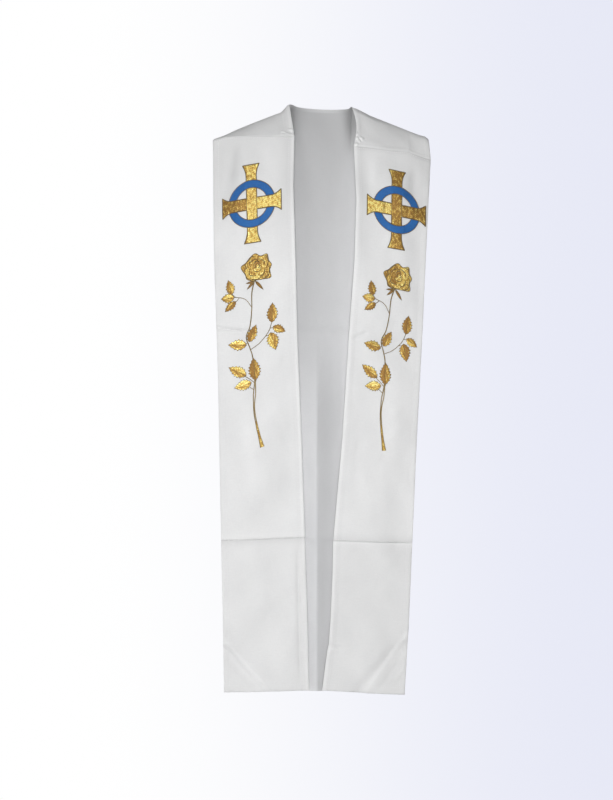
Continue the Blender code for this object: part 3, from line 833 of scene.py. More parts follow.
class Paint:
    """Builds one material's nodes."""

    def __init__(self, name: str, **constants: Any) -> None:
        """Starts a material with only its Principled shader.

        Args:
            name: the material's name.
            constants: what is the same all over, by socket name with underscores for spaces.
        """
        self.material = bpy.data.materials.new(name)
        self.material.use_nodes = True
        self.tree = self.material.node_tree
        self.shader = self.tree.nodes["Principled BSDF"]
        for socket, value in constants.items():
            self.feed(self.shader.inputs[socket.replace("_", " ")], value)

    def node(self, kind: str, settings: dict[str, Any], values: dict[Any, Any]) -> bpy.types.Node:
        """Adds a node.

        Args:
            kind: the node's type.
            settings: its properties, set first.
            values: what its input sockets hold or are linked from.

        Returns:
            The node.
        """
        made = self.tree.nodes.new(kind)
        for key, setting in settings.items():
            setattr(made, key, setting)
        for key, value in values.items():
            self.feed(made.inputs[key], value)
        return made

    def feed(self, socket: bpy.types.NodeSocket, value: Any) -> None:
        """Links a socket or sets it.

        Args:
            socket: the input.
            value: a value field, an output socket, a colour or a plain value.
        """
        if isinstance(value, (Field, bpy.types.NodeSocket)):
            self.tree.links.new(value.socket if isinstance(value, Field) else value, socket)
        elif isinstance(value, tuple) and len(value) == 3 and len(socket.default_value) == 4:
            socket.default_value = (*value, 1.0)
        else:
            socket.default_value = value

    def value(self, kind: str, settings: dict[str, Any], values: dict[Any, Any], output: str) -> Field:
        """Adds a node and returns one output as a value."""
        return Field(self, self.node(kind, settings, values).outputs[output])

    def blend(self, share: Any, first: Any, second: Any) -> bpy.types.NodeSocket:
        """Mixes two colours."""
        return self.node("ShaderNodeMix", {"data_type": "RGBA"}, {0: share, 6: first, 7: second}).outputs[2]

    def object_place(self) -> bpy.types.NodeSocket:
        """The place in the object's own coordinates."""
        return self.node("ShaderNodeTexCoord", {}, {}).outputs["Object"]

    def part(self, place: bpy.types.NodeSocket, axis: int) -> Field:
        """One coordinate of a place."""
        return Field(self, self.node("ShaderNodeSeparateXYZ", {}, {0: place}).outputs[axis])

    def cloth_place(self) -> tuple[Field, Field, bpy.types.NodeSocket]:
        """The piece's own UV map in metres: across, along and both."""
        both = self.node("ShaderNodeUVMap", {"uv_map": "cloth"}, {}).outputs["UV"]
        return self.part(both, 0), self.part(both, 1), both

    def attribute(self, name: str) -> Field:
        """A value stored on the piece's points."""
        return self.value("ShaderNodeAttribute", {"attribute_name": name}, {}, "Fac")

    def noise(self, place: Any, scale: float, detail: float = 2.0, stretch: Optional[Triple] = None) -> Field:
        """Soft noise, stretched where asked.

        Args:
            place: where it is read.
            scale: how many patches there are to a metre.
            detail: how many finer layers it has.
            stretch: scale along each axis, or None.

        Returns:
            The noise, from 0 to 1.
        """
        if stretch is not None:
            place = self.node("ShaderNodeMapping", {}, {"Vector": place, "Scale": stretch}).outputs[0]
        values = {"Vector": place, "Scale": scale, "Detail": detail}
        return self.value("ShaderNodeTexNoise", {}, values, "Fac")

    def finish(self, colour: Any, roughness: Any, height: Field, bump_mm: float) -> bpy.types.Material:
        """Links the colour, roughness and bump.

        Args:
            colour: base colour over the surface.
            roughness: roughness over the surface.
            height: relief over the surface, about 0 to 1.
            bump_mm: how high that relief is.

        Returns:
            The finished material.
        """
        self.feed(self.shader.inputs["Base Color"], colour)
        self.feed(self.shader.inputs["Roughness"], roughness)
        values = {"Strength": 1.0, "Distance": bump_mm * MM, "Height": height}
        relief = self.node("ShaderNodeBump", {}, values)
        self.feed(self.shader.inputs["Normal"], relief.outputs["Normal"])
        return self.material


@dataclass(frozen=True)
class WovenCloth:
    """A plain woven cloth with slubs and a soft sheen, darkened by painted shade from a point attribute."""

    name: str
    colour: Triple
    shade: Triple
    thread: float = 0.55
    relief: float = 0.10
    roughness: float = 0.72
    sheen: float = 0.12
    # How dark the painted shade gets at its deepest, as a share of the colour; shade_name names the attribute
    # that carries it.
    depth: float = 0.62
    shade_name: str = "dim"
    weft_slubs: Triple = (60.0, 1500.0, 1.0)
    warp_slubs: Triple = (1500.0, 45.0, 1.0)

    def make(self) -> bpy.types.Material:
        """Builds the material.

        Returns:
            The woven cloth.
        """
        paint = Paint(self.name, Sheen_Weight=self.sheen, Sheen_Roughness=0.5, Specular_IOR_Level=0.25)
        across, along, both = paint.cloth_place()
        turn = math.pi / (self.thread * MM)
        weave = (across * turn).wave() * (along * turn).wave()
        weft = paint.noise(both, 1.0, 3.0, self.weft_slubs)
        warp = paint.noise(both, 1.0, 3.0, self.warp_slubs)
        mottle = paint.noise(both, 260.0, 4.0)
        tint = weft * 0.35 + warp * 0.25 + mottle * 0.25 + paint.noise(both, 14.0, 3.0) * 0.35
        colour = paint.blend(tint.above(0.42, 0.78), self.colour, self.shade)
        # Painted shade: the colour darkens towards the deep colour as the attribute rises.
        deep = tuple(level * self.depth for level in self.colour)
        colour = paint.blend(paint.attribute(self.shade_name), colour, deep)
        rough = mottle * 0.12 + (self.roughness - 0.06)
        height = weave * 0.5 + (weft + warp) * 0.9 + paint.noise(both, 75.0, 3.0) * 1.6
        return paint.finish(colour, rough, height, self.relief)


@dataclass(frozen=True)
class GoldThread:
    """Metallic embroidery with painted light: lit or shaded gold by the way its threads run to the light,
    with painted glints.
    """

    name: str
    # The lit and the shaded colour are one gold thread with painted light; the glint colour is a painted
    # glint.
    lit_gold: Triple = (0.98, 0.65, 0.14)
    shaded_gold: Triple = (0.37, 0.200, 0.055)
    glint: Triple = (1.0, 0.95, 0.38)
    deep: Triple = (0.17, 0.08, 0.02)
    thread: float = 0.45
    grain: float = 520.0
    patch: float = 230.0
    vein: float = 3.6

    def make(self) -> bpy.types.Material:
        """Builds the material.

        Returns:
            The gold embroidery.
        """
        paint = Paint(self.name, Metallic=0.45, Specular_IOR_Level=0.25)
        across, along, both = paint.cloth_place()
        # The tone attribute is painted light: how brightly each piece's thread is lit.
        tone = paint.attribute("tone")
        rows = ((along + across * 0.35) * (math.tau / (self.thread * MM))).wave() * 0.5 + 0.5
        fleck = paint.noise(both, self.grain, 2.0)
        patch = paint.noise(both, self.patch, 3.0, (1.0, 0.6, 1.0))
        # Painted light: tone, patches and flecks choose between the shaded and the lit gold.
        level = tone * 0.66 + (patch - 0.5) * 2.6 + (fleck - 0.5) * 1.9 + 0.12
        base = paint.blend(level.above(0.0, 0.85), self.shaded_gold, self.lit_gold)
        # Painted glints where patches, flecks and tone run high.
        spark = ((patch - 0.5) * 1.7 + (fleck - 0.5) * 1.8 + tone * 0.34).above(0.27, 0.50)
        base = paint.blend(spark * 0.9, base, self.glint)
        turn = math.tau / (self.vein * MM)
        veins = (along * turn - across * (turn / 2.0)).wave() * 0.5 + 0.5
        base = paint.blend(rows * 0.12 + veins * 0.30 + 0.58, self.deep, base)
        return paint.finish(base, 0.50 - spark * 0.22, rows * 0.6 + fleck * 1.6 + patch * 2.2, 0.12)


@dataclass(frozen=True)
class SatinEdge:
    """Close satin stitches over an edge, in dull old gold, with painted highlights along the stitches."""

    name: str
    colour: Triple = (0.155, 0.110, 0.055)
    light: Triple = (0.60, 0.42, 0.15)
    thread: float = 0.5
    roughness: float = 0.45

    def make(self) -> bpy.types.Material:
        """Builds the material.

        Returns:
            The satin stitch.
        """
        paint = Paint(self.name, Metallic=0.4)
        rows = (paint.attribute("along") * (math.tau / (self.thread * MM))).wave() * 0.5 + 0.5
        fleck = paint.noise(paint.object_place(), 900.0, 2.0)
        # Painted highlight: stitch rows, flecks and the tone attribute lift the dull gold towards the light
        # colour.
        share = (rows * 0.4 + fleck * 0.6 + paint.attribute("tone") * 0.35).above(0.35, 0.95)
        colour = paint.blend(share, self.colour, self.light)
        return paint.finish(colour, self.roughness, rows + fleck * 0.6, 0.14)


class Finishes:
    """Every finish, made once."""

    def __init__(self) -> None:
        """Builds the materials."""
        white = WovenCloth("white_cloth", (0.96, 0.96, 0.956), (0.885, 0.885, 0.887))
        lining = WovenCloth(
            "white_lining", (0.95, 0.952, 0.96), (0.89, 0.893, 0.905), 0.35,
            depth=0.40, shade_name="inner_dim",
        )
        blue = WovenCloth("blue_cloth", (0.032, 0.170, 0.480), (0.020, 0.115, 0.360), 0.45, 0.09, 0.62, 0.25)
        self.white: bpy.types.Material = white.make()
        self.lining: bpy.types.Material = lining.make()
        self.gold: bpy.types.Material = GoldThread("gold_thread").make()
        self.blue: bpy.types.Material = blue.make()
        self.edge: bpy.types.Material = SatinEdge("gold_satin_edge").make()


def new_object(name: str, mesh: bpy.types.Mesh, materials: Iterable[bpy.types.Material]) -> bpy.types.Object:
    """Links a mesh as an object, shaded smooth.

    Args:
        name: the object's name.
        mesh: its mesh.
        materials: what fills its material slots.

    Returns:
        The object.
    """
    for material in materials:
        mesh.materials.append(material)
    mesh.polygons.foreach_set("use_smooth", [True] * len(mesh.polygons))
    obj = bpy.data.objects.new(name, mesh)
    bpy.context.scene.collection.objects.link(obj)
    return obj


def free_to_mesh(work: bmesh.types.BMesh, name: str) -> bpy.types.Mesh:
    """Turns a working mesh into a finished one and frees it.

    Args:
        work: the working mesh.
        name: the finished mesh's name.

    Returns:
        The finished mesh.
    """
    mesh = bpy.data.meshes.new(name)
    work.to_mesh(mesh)
    work.free()
    return mesh


def ride(obj: bpy.types.Object, nodes: Sequence[str] = ()) -> bpy.types.Object:
    """Fixes a piece to the body.

    Args:
        obj: the piece.
        nodes: the CAD nodes that it stands for.

    Returns:
        The same piece.
    """
    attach(obj, "root")
    if nodes:
        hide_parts(*nodes)
    LOG.info("%s: %d faces", obj.name, len(obj.data.polygons))
    return obj


def move_points(work: bmesh.types.BMesh, points: Array) -> None:
    """Puts each point of a mesh at a place in millimetres."""
    for vert, point in zip(work.verts, points):
        vert.co = Vector([float(level) for level in point]) * MM


def grid_patch(columns: int, rows: int) -> tuple[bmesh.types.BMesh, Array, Array]:
    """Makes a grid.

    Args:
        columns: how many cells lie across.
        rows: how many cells lie down.

    Returns:
        The grid, and each point's share across and share down.
    """
    work = bmesh.new()
    bmesh.ops.create_grid(work, x_segments=columns, y_segments=rows, size=0.5)
    flat = np.array([tuple(vert.co) for vert in work.verts])
    return work, np.clip(flat[:, 0] + 0.5, 0.0, 1.0), np.clip(0.5 - flat[:, 1], 0.0, 1.0)


def travelled(line: Array) -> Array:
    """Distance along a line at each of its points."""
    return np.concatenate([[0.0], np.cumsum(np.linalg.norm(np.diff(line, axis=0), axis=1))])


@dataclass
class ClothPanel:
    """A cut panel of cloth, as a grid laid on its form and given a wall."""

    name: str
    node: str
    cell: float
    outward: float
    shape: Callable[[Array, Array], Array]
    # Painted shade of each point, from columns, rows and places.
    dim: Callable[[Array, Array, Array], Array]
    trim: Pair
    inner: bool = False
    wall: float = 1.9
    rim: float = 0.5
    least: int = 6
    plain_dim: float = 0.14

    def flat_size(self) -> Pair:
        """Measures the cut along the cloth.

        Returns:
            Its greatest width and length, in millimetres.
        """
        count = 41
        share = np.linspace(0.0, 1.0, count)
        u, v = (part.ravel() for part in np.meshgrid(share, share))
        rows = self.shape(u, v).reshape(count, count, 3)
        width, length = (np.linalg.norm(np.diff(rows, axis=k), axis=2).sum(axis=k).max() for k in (1, 0))
        return float(width), float(length)

    def add_wall(self, obj: bpy.types.Object) -> None:
        """Gives the panel its wall and soft rims.

        Args:
            obj: the panel's middle surface.
        """
        wall = obj.modifiers.new("wall", "SOLIDIFY")
        wall.thickness = self.wall * MM
        wall.offset = 0.0
        wall.material_offset = 1
        wall.use_even_offset = wall.use_quality_normals = True
        rim = obj.modifiers.new("rim", "BEVEL")
        rim.width = self.rim * MM
        rim.segments = 2
        rim.limit_method = "ANGLE"
        rim.angle_limit = math.radians(50.0)

    def build(self, finishes: Finishes, pieces: Sequence[bpy.types.Object] = ()) -> bpy.types.Object:
        """Makes the panel.

        Args:
            finishes: the materials.
            pieces: what is sewn on it; not used.

        Returns:
            The panel, riding on the body.
        """
        width, length = self.flat_size()
        work, u, v = grid_patch(*(max(self.least, round(side / self.cell)) for side in (width, length)))
        layer = work.loops.layers.uv.new("cloth")
        work.verts.index_update()
        for loop in (loop for face in work.faces for loop in face.loops):
            spot = loop.vert.index
            loop[layer].uv = (u[spot] * width * MM, (1.0 - v[spot]) * length * MM)
        start, end = self.trim[0] / length, 1.0 - self.trim[1] / length
        points = self.shape(u, start + (end - start) * v)
        # Painted shade: one face takes the shape's shade map, the other the even painted shade plain_dim.
        outer_dim = work.verts.layers.float.new("dim")
        inner_dim = work.verts.layers.float.new("inner_dim")
        for vert, level in zip(work.verts, self.dim(u, v, points)):
            vert[outer_dim] = self.plain_dim if self.inner else float(level)
            vert[inner_dim] = float(level) if self.inner else self.plain_dim
        move_points(work, points)
        work.normal_update()
        if sum(face.normal.y * face.calc_area() for face in work.faces) * self.outward < 0.0:
            bmesh.ops.reverse_faces(work, faces=work.faces)
        area = sum(face.calc_area() for face in work.faces)
        obj = new_object(self.name, free_to_mesh(work, self.name), (finishes.white, finishes.lining))
        self.add_wall(obj)
        ride(obj, [self.node])
        return obj


@dataclass
class MeshCollector:
    """Gathers the parts of one motif, with the tone and stitch run of each point."""

    meshes: list[bpy.types.Mesh] = field(default_factory=list)

    def add(
        self, work: bmesh.types.BMesh, points: Array, spots: Array, tone: Array, along: Array, slot: int,
    ) -> None:
        """Takes one part.

        Args:
            work: the part's mesh, freed here.
            points: place of each point in millimetres.
            spots: pattern place of each point in millimetres.
            tone: painted light of the thread at each point, from 0 to 1.
            along: run of the stitches at each point, in millimetres.
            slot: index of its material.
        """
        uv = work.loops.layers.uv.new("cloth")
        # The tone attribute carries painted light for the gold and satin finishes.
        tones = work.verts.layers.float.new("tone")
        runs = work.verts.layers.float.new("along")
        work.verts.index_update()
        for face in work.faces:
            face.material_index = slot
            for loop in face.loops:
                loop[uv].uv = tuple(spots[loop.vert.index] * MM)
        for vert in work.verts:
            vert[tones] = float(tone[vert.index])
            vert[runs] = float(along[vert.index]) * MM
        move_points(work, points)
        bmesh.ops.remove_doubles(work, verts=work.verts, dist=0.01 * MM)
        bmesh.ops.holes_fill(work, edges=work.edges)
        bmesh.ops.recalc_face_normals(work, faces=work.faces)
        self.meshes.append(free_to_mesh(work, "part"))

    def tube(
        self, line: Array, above: Array, widths: Array, thick: float, slot: int, tone: float,
        closed: bool, sides: int,
    ) -> None:
        """Makes a flattened tube.

        Args:
            line: points of its middle line in millimetres.
            above: the cloth's normal at each point.
            widths: its width at each point.
            thick: how thick it is where it is widest.
            slot: index of its material.
            tone: painted light of its thread.
            closed: whether its end meets its start.
            sides: how many faces go round it.
        """
        if closed:
            run = np.roll(line, -1, axis=0) - np.roll(line, 1, axis=0)
            run, line, above = (np.vstack([part, part[:1]]) for part in (run, line, above))
            widths = np.append(widths, widths[0])
        else:
            run = np.gradient(line, axis=0)
        aside = unit(np.cross(unit(run), above))
        last = len(line) - 1
        work, u, v = grid_patch(last, sides)
        index = np.clip(np.rint(u * last).astype(int), 0, last)
        angle = v * math.tau
        relative = widths[index] / max(float(widths.max()), TINY)
        offset = aside[index] * (np.cos(angle) * widths[index] / 2.0)[:, None]
        offset += above[index] * (np.sin(angle) * thick / 2.0 * np.sqrt(relative))[:, None]
        runs = travelled(line)[index]
        spots = np.stack([angle, runs], axis=1)
        self.add(work, line[index] + offset, spots, np.full(len(u), tone), runs, slot)

    def join(self, name: str, materials: Sequence[bpy.types.Material]) -> bpy.types.Object:
        """Joins the parts.

        Args:
            name: the piece's name.
            materials: what fills its material slots.

        Returns:
            One object.
        """
        work = bmesh.new()
        for mesh in self.meshes:
            work.from_mesh(mesh)
            bpy.data.meshes.remove(mesh)
        return new_object(name, free_to_mesh(work, name), materials)


def level(value: float) -> Callable[[Array], Array]:
    """A height or tone that is the same at every flat point."""
    return lambda flat: np.full(len(flat), value)


def edge_distance(points: Array, outline: Array) -> Array:
    """Measures how far flat points lie from an outline.

    Args:
        points: places across and down.
        outline: its corners across and down.

    Returns:
        The distance of each point.
    """
    run = np.roll(outline, -1, axis=0) - outline
    reach = points[:, None, :] - outline[None, :, :]
    share = np.clip((reach * run).sum(axis=2) / np.maximum((run * run).sum(axis=1), TINY), 0.0, 1.0)
    return np.linalg.norm(reach - share[:, :, None] * run, axis=2).min(axis=1)


def rounded(points: Array, steps: int, closed: bool) -> Array:
    """Draws a soft curve through points.

    Args:
        points: the places that it passes.
        steps: how many points it gets between two places.
        closed: whether its end meets its start.

    Returns:
        The points of the curve.
    """
    if closed:
        padded = np.vstack([points[-1:], points, points[:2]])
    else:
        padded = np.vstack([2 * points[:1] - points[1:2], points, 2 * points[-1:] - points[-2:-1]])
    made = []
    for a, b, c, d in zip(padded, padded[1:], padded[2:], padded[3:]):
        for t in np.arange(steps) / steps:
            drawn = 2 * b + (c - a) * t + (2 * a - 5 * b + 4 * c - d) * t**2
            made.append(0.5 * (drawn + (3 * b - a - 3 * c + d) * t**3))
    return np.array(made if closed else [*made, points[-1]])


@dataclass
class Applique:
    """What every sewn-on motif shares: its place on a front, and how flat shapes and cords are laid there.

    The place holds the middle's x and z, how much the motif leans and how much it rises sideways.
    """

    form: FrontForm
    place: tuple[float, float, float, float]
    rest: float = 1.0
    scale: Pair = (1.0, 1.0)
    parts: MeshCollector = field(default_factory=MeshCollector)

    def lay(self, across: Array, down: Array, height: Array) -> Array:
        """Lays flat points on the cloth's outer face.

        Args:
            across: places across the motif, in millimetres.
            down: places down the motif.
            height: how far each point stands above the cloth.

        Returns:
            The points in millimetres.
        """
        x, z, lean, rise = self.place
        across, down = across * self.scale[0], down * self.scale[1]
        return self.form.place(x + across + lean * down, z - down + rise * across, self.rest + height)

    def cells(self, outline: Array, cell: float, turn: float = 0.0) -> tuple[bmesh.types.BMesh, Array]:
        """One flat face from an outline, cut by a lattice of lines.

        Args:
            outline: corners in millimetres across and down.
            cell: spacing of the lattice.
            turn: how far the lattice is turned, in radians.

        Returns:
            The doubled mesh and its points, in millimetres.
        """
        work = bmesh.new()
        work.faces.new([work.verts.new((a, d, 0.0)) for a, d in outline])
        work.normal_update()
        bmesh.ops.triangulate(work, faces=work.faces)
        for angle in (turn, turn + math.pi / 2.0):
            normal = (math.cos(angle), math.sin(angle), 0.0)
            reach = outline @ np.array(normal[:2])
            for at in np.arange(reach.min() + cell * 0.5, reach.max(), cell):
                spot = (normal[0] * at, normal[1] * at, 0.0)
                geometry = work.verts[:] + work.edges[:] + work.faces[:]
                bmesh.ops.bisect_plane(work, geom=geometry, dist=1e-3, plane_co=spot, plane_no=normal)
        bmesh.ops.triangulate(work, faces=work.faces)
        return self.doubled(work)

    def doubled(self, work: bmesh.types.BMesh) -> tuple[bmesh.types.BMesh, Array]:
        """Gives a flat mesh a second face and a rim.

        Args:
            work: the flat mesh.

        Returns:
            The mesh and its points; z is 1 on the outer face and 0 on the under face.
        """
        bmesh.ops.remove_doubles(work, verts=work.verts, dist=0.02)
        made = bmesh.ops.extrude_face_region(work, geom=work.faces[:])["geom"]
        outer = [item for item in made if isinstance(item, bmesh.types.BMVert)]
        bmesh.ops.translate(work, verts=outer, vec=(0.0, 0.0, 1.0))
        return work, np.array([tuple(vert.co) for vert in work.verts])

    def plate(
        self, outline: Array, cell: float, height: Callable[[Array], Array], tone: Callable[[Array], Array],
        turn: float = 0.0, spots: Optional[Callable[[Array], Array]] = None, wall: float = 0.7,
    ) -> None:
        """Lays a flat shape of the motif's own cloth or thread on the front.

        Args:
            outline: its corners in millimetres across and down.
            cell: size of its cells.
            height: height of its face above the cloth, from flat points.
            tone: painted light of its thread, from flat points.
            turn: how far its cells are turned.
            spots: pattern places, or None for the flat points.
            wall: its thickness.
        """
        work, solid = self.cells(outline, cell, turn)
        flat = solid[:, :2]
        points = self.lay(flat[:, 0], flat[:, 1], height(flat) - wall * (1.0 - solid[:, 2]))
        pattern = flat if spots is None else spots(flat)
        self.parts.add(work, points, pattern, tone(flat), np.zeros(len(flat)), 0)

    def cord(
        self, path: Array, width: Any, thick: float, height: Callable[[Array], Array], tone: float = 0.4,
        closed: bool = False, sides: int = 6,
    ) -> None:
        """Sews a raised cord of satin stitch along a path.

        Args:
            path: its middle line in millimetres across and down.
            width: its width, or one for each point.
            thick: how thick it is.
            height: height of its middle above the cloth, from flat points.
            tone: painted light of its thread.
            closed: whether its end meets its start.
            sides: how many faces go round it.
        """
        line, lifted = (self.lay(path[:, 0], path[:, 1], height(path) + up) for up in (0.0, 1.0))
        widths = np.broadcast_to(np.asarray(width, float), (len(path),))
        self.parts.tube(line, lifted - line, widths, thick, 1, tone, closed, sides)


@dataclass
class Emblem(Applique):
    """A flared cross woven with a ring."""

    # Painted light of each arm: low is shaded, high is lit.
    tones: dict[str, float] = field(default_factory=dict)
    stem_half: float = 9.8
    stem_flare: float = 16.6
    bar_half: float = 11.4
    bar_flare: float = 20.5
    up: float = 77.0
    down: float = 76.0
    side: float = 58.0
    stem_flare_length: float = 26.0
    bar_flare_length: float = 20.8
    power: float = 2.2
    ring_outer: float = 46.0
    ring_inner: float = 31.0
    ring_columns: int = 132
    weave: float = 1.3
    margin: float = 2.0
    ramp: float = 7.0
    puff: float = 0.5
    cross_height: float = 0.75
    cross_cell: float = 3.0
    ring_height: float = 0.7
    ring_puff: float = 0.45
    ring_wall: float = 0.65
    border_cord: Pair = (1.9, 1.3)
    joint_cord: Pair = (1.1, 1.0)
    ring_cord: Pair = (1.35, 1.1)

    def cross_lift(self, flat: Array) -> Array:
        """Lifts the cross where its bar passes over the ring.

        Args:
            flat: places across and down.

        Returns:
            The lift at each place.
        """
        middle = (self.ring_outer + self.ring_inner) / 2.0
        half = (self.ring_outer - self.ring_inner) / 2.0 + self.margin
        return self.weave * smooth(1.0 - (np.abs(np.abs(flat[:, 0]) - middle) - half) / self.ramp)

    def ring_lift(self, flat: Array) -> Array:
        """The ring rises where it passes over the stem of the cross."""
        away = np.abs(flat[:, 0]) - (self.stem_half + self.margin)
        return self.weave * smooth(1.0 - away / self.ramp)

    def arm(self, reach: float, length: float, half: float, flare: float) -> list[Pair]:
        """Follows a flared arm from its end inwards.

        Args:
            reach: how far its end lies from the middle.
            length: how long its flare is.
            half: half its width inside the flare.
            flare: half its width at the end.

        Returns:
            Distance from the middle and half width, for each station.
        """
        stations = [*np.linspace(0.0, 1.0, 9), 1.3, 1.6]
        return [
            (reach - length * s, half + (flare - half) * max(1.0 - s, 0.0) ** self.power)
            for s in stations
        ]

    def outline(self) -> Array:
        """The cross's corners.

        Returns:
            The corners from its top right corner round clockwise.
        """
        stem = (self.stem_flare_length, self.stem_half, self.stem_flare)
        up, low = (self.arm(end, *stem) for end in (self.up, self.down))
        side = self.arm(self.side, self.bar_flare_length, self.bar_half, self.bar_flare)
        right = [(half, -reach) for reach, half in up] + [(self.stem_half, -self.bar_half)]
        right += [(reach, -half) for reach, half in reversed(side)]
        right += [(reach, half) for reach, half in side] + [(self.stem_half, self.bar_half)]
        right += [(half, reach) for reach, half in reversed(low)]
        return np.array(right + [(-across, down) for across, down in reversed(right)])

    def tone(self, flat: Array) -> Array:
        """Painted light of the cross's thread, arm by arm: each arm is lit or shaded by the way its stitches
        run.

        Args:
            flat: places across and down.

        Returns:
            The brightness at each place.
        """
        across, down = flat[:, 0], flat[:, 1]
        upright = np.where(down < 0.0, self.tones["up"], self.tones["down"])
        sideways = np.where(across > 0.0, self.tones["right"], self.tones["left"])
        return upright + (sideways - upright) * smooth((np.abs(across) - self.stem_half) / 1.5 + 0.5)

    def dense(self, outline: Array, spacing: float) -> Array:
        """Adds points on an outline's long sides.

        Args:
            outline: its corners.
            spacing: about how far apart the points are to lie.

        Returns:
            The closer points.
        """
        made = []
        for a, b in zip(outline, np.roll(outline, -1, axis=0)):
            count = max(1, round(float(np.linalg.norm(b - a)) / spacing))
            made += [a + (b - a) * k / count for k in range(count)]
        return np.array(made)

    def build_cross(self, finishes: Finishes) -> bpy.types.Object:
        """The gold cross with its satin edge.

        Args:
            finishes: the materials.

        Returns:
            The cross, riding on the body.
        """
        outline = self.outline()
        border = self.dense(outline, 1.8)

        def height(flat: Array) -> Array:
            """The cross's face: puffed inside its edge and lifted over the ring."""
            puff = self.puff * smooth(edge_distance(flat, border) / 4.0)
            return self.cross_height + self.cross_lift(flat) + puff

        self.parts = MeshCollector()
        self.plate(outline, self.cross_cell, height, self.tone)
        over = self.cross_height + 0.03
        self.cord(border, *self.border_cord, lambda flat: over + self.cross_lift(flat), -0.5, True)
        for side in (-self.stem_half, self.stem_half):
            down = np.linspace(-self.bar_half, self.bar_half, 13)
            self.cord(np.stack([np.full(len(down), side), down], axis=1), *self.joint_cord, height, 0.2)
        name = "cross_" + self.form.side.value
        return ride(self.parts.join(name + "_dressed", (finishes.gold, finishes.edge)), [name])

    def build_ring(self, finishes: Finishes) -> bpy.types.Object:
        """The blue ring with its satin edges.

        Args:
            finishes: the materials.

        Returns:
            The ring, riding on the body.
        """
        def face_height(flat: Array) -> Array:
            """The ring's face at its edges, lifted over the stem of the cross."""
            return self.ring_height + self.ring_lift(flat)

        self.parts = MeshCollector()
        work, u, v = grid_patch(self.ring_columns, 6)
        radius = self.ring_inner + (self.ring_outer - self.ring_inner) * v
        for vert, r, turn in zip(work.verts, radius, u * math.tau):
            vert.co = (r * math.cos(turn), r * math.sin(turn), 0.0)
        work, solid = self.doubled(work)
        flat = solid[:, :2]
        away = np.linalg.norm(flat, axis=1)
        rim = np.minimum(away - self.ring_inner, self.ring_outer - away)
        height = face_height(flat) + self.ring_puff * smooth(rim / 3.5)
        height -= self.ring_wall * (1.0 - solid[:, 2])
        plain = np.zeros(len(flat))
        self.parts.add(work, self.lay(flat[:, 0], flat[:, 1], height), flat, plain, plain, 0)
        turn = np.arange(self.ring_columns) / self.ring_columns * math.tau
        for edge in (self.ring_inner, self.ring_outer):
            circle = edge * np.stack([np.cos(turn), np.sin(turn)], axis=1)
            self.cord(circle, *self.ring_cord, face_height, -0.2, True)
        name = "ring_" + self.form.side.value
        return ride(self.parts.join(name + "_dressed", (finishes.blue, finishes.edge)), [name])

    def build(self, finishes: Finishes) -> list[bpy.types.Object]:
        """Cross and ring, each for its own node."""
        return [self.build_cross(finishes), self.build_ring(finishes)]


@dataclass(frozen=True)
class Leaf:
    """A leaf from its base to its tip, in millimetres across and down."""

    base: Pair
    tip: Pair
    half: float
    teeth: int = 5
    tooth: float = 0.17
    fullness: float = 0.80
    vein: float = 4.2
    rest: float = 0.7
    crown: float = 0.6
    groove: Pair = (0.45, 0.8)
    rib: float = 0.22

    def axes(self) -> tuple[Array, Array, float]:
        """The leaf's own directions.

        Returns:
            The directions along and aside, and the length.
        """
        run = np.array(self.tip) - np.array(self.base)
        length = float(np.linalg.norm(run))
        along = run / length
        return along, np.array([-along[1], along[0]]), length

    def width(self, s: Array) -> Array:
        """Half width at a share of the length."""
        return self.half * np.sin(math.pi * np.clip(s, 0.0, 1.0) ** self.fullness)

    def outline(self) -> Array:
        """The toothed edge.

        Returns:
            Its points from the base round to the tip and back.
        """
        (along, aside, length), base = self.axes(), np.array(self.base)
        first, second = [], []
        for k in range(self.teeth):
            for shift, scale in ((0.0, 1.0 + self.tooth), (0.3, 1.0 - self.tooth)):
                s = (k + 0.7 + shift) / (self.teeth + 0.8)
                width = float(self.width(np.array(s))) * scale
                first.append(base + along * length * s + aside * width)
                second.append(base + along * length * s - aside * width)
        return np.array([base, *first, np.array(self.tip), *second[::-1]])

    def local(self, flat: Array) -> tuple[Array, Array]:
        """Share of the length and distance aside of flat points."""
        (along, aside, length), reach = self.axes(), flat - np.array(self.base)
        return reach @ along / length, reach @ aside

    def spots(self, flat: Array) -> Array:
        """Pattern places, slanting out from the midrib."""
        share, away = self.local(flat)
        return np.stack([np.abs(away) * 1.2, share * self.axes()[2] * 0.62], axis=1)

    def height(self, flat: Array) -> Array:
        """Domed halves with a groove at the midrib and shallow side veins.

        Args:
            flat: places across and down.

        Returns:
            The height at each place.
        """
        share, away = self.local(flat)
        dome = 1.0 - np.clip(np.abs(away) / np.maximum(self.width(share), 0.5), 0.0, 1.0) ** 2
        veins = np.sin((share * self.axes()[2] - np.abs(away) * 0.9) * math.tau / self.vein)
        depth, half_width = self.groove
        return self.rest + self.crown * dome - depth * bump(away, half_width) + self.rib * veins * dome


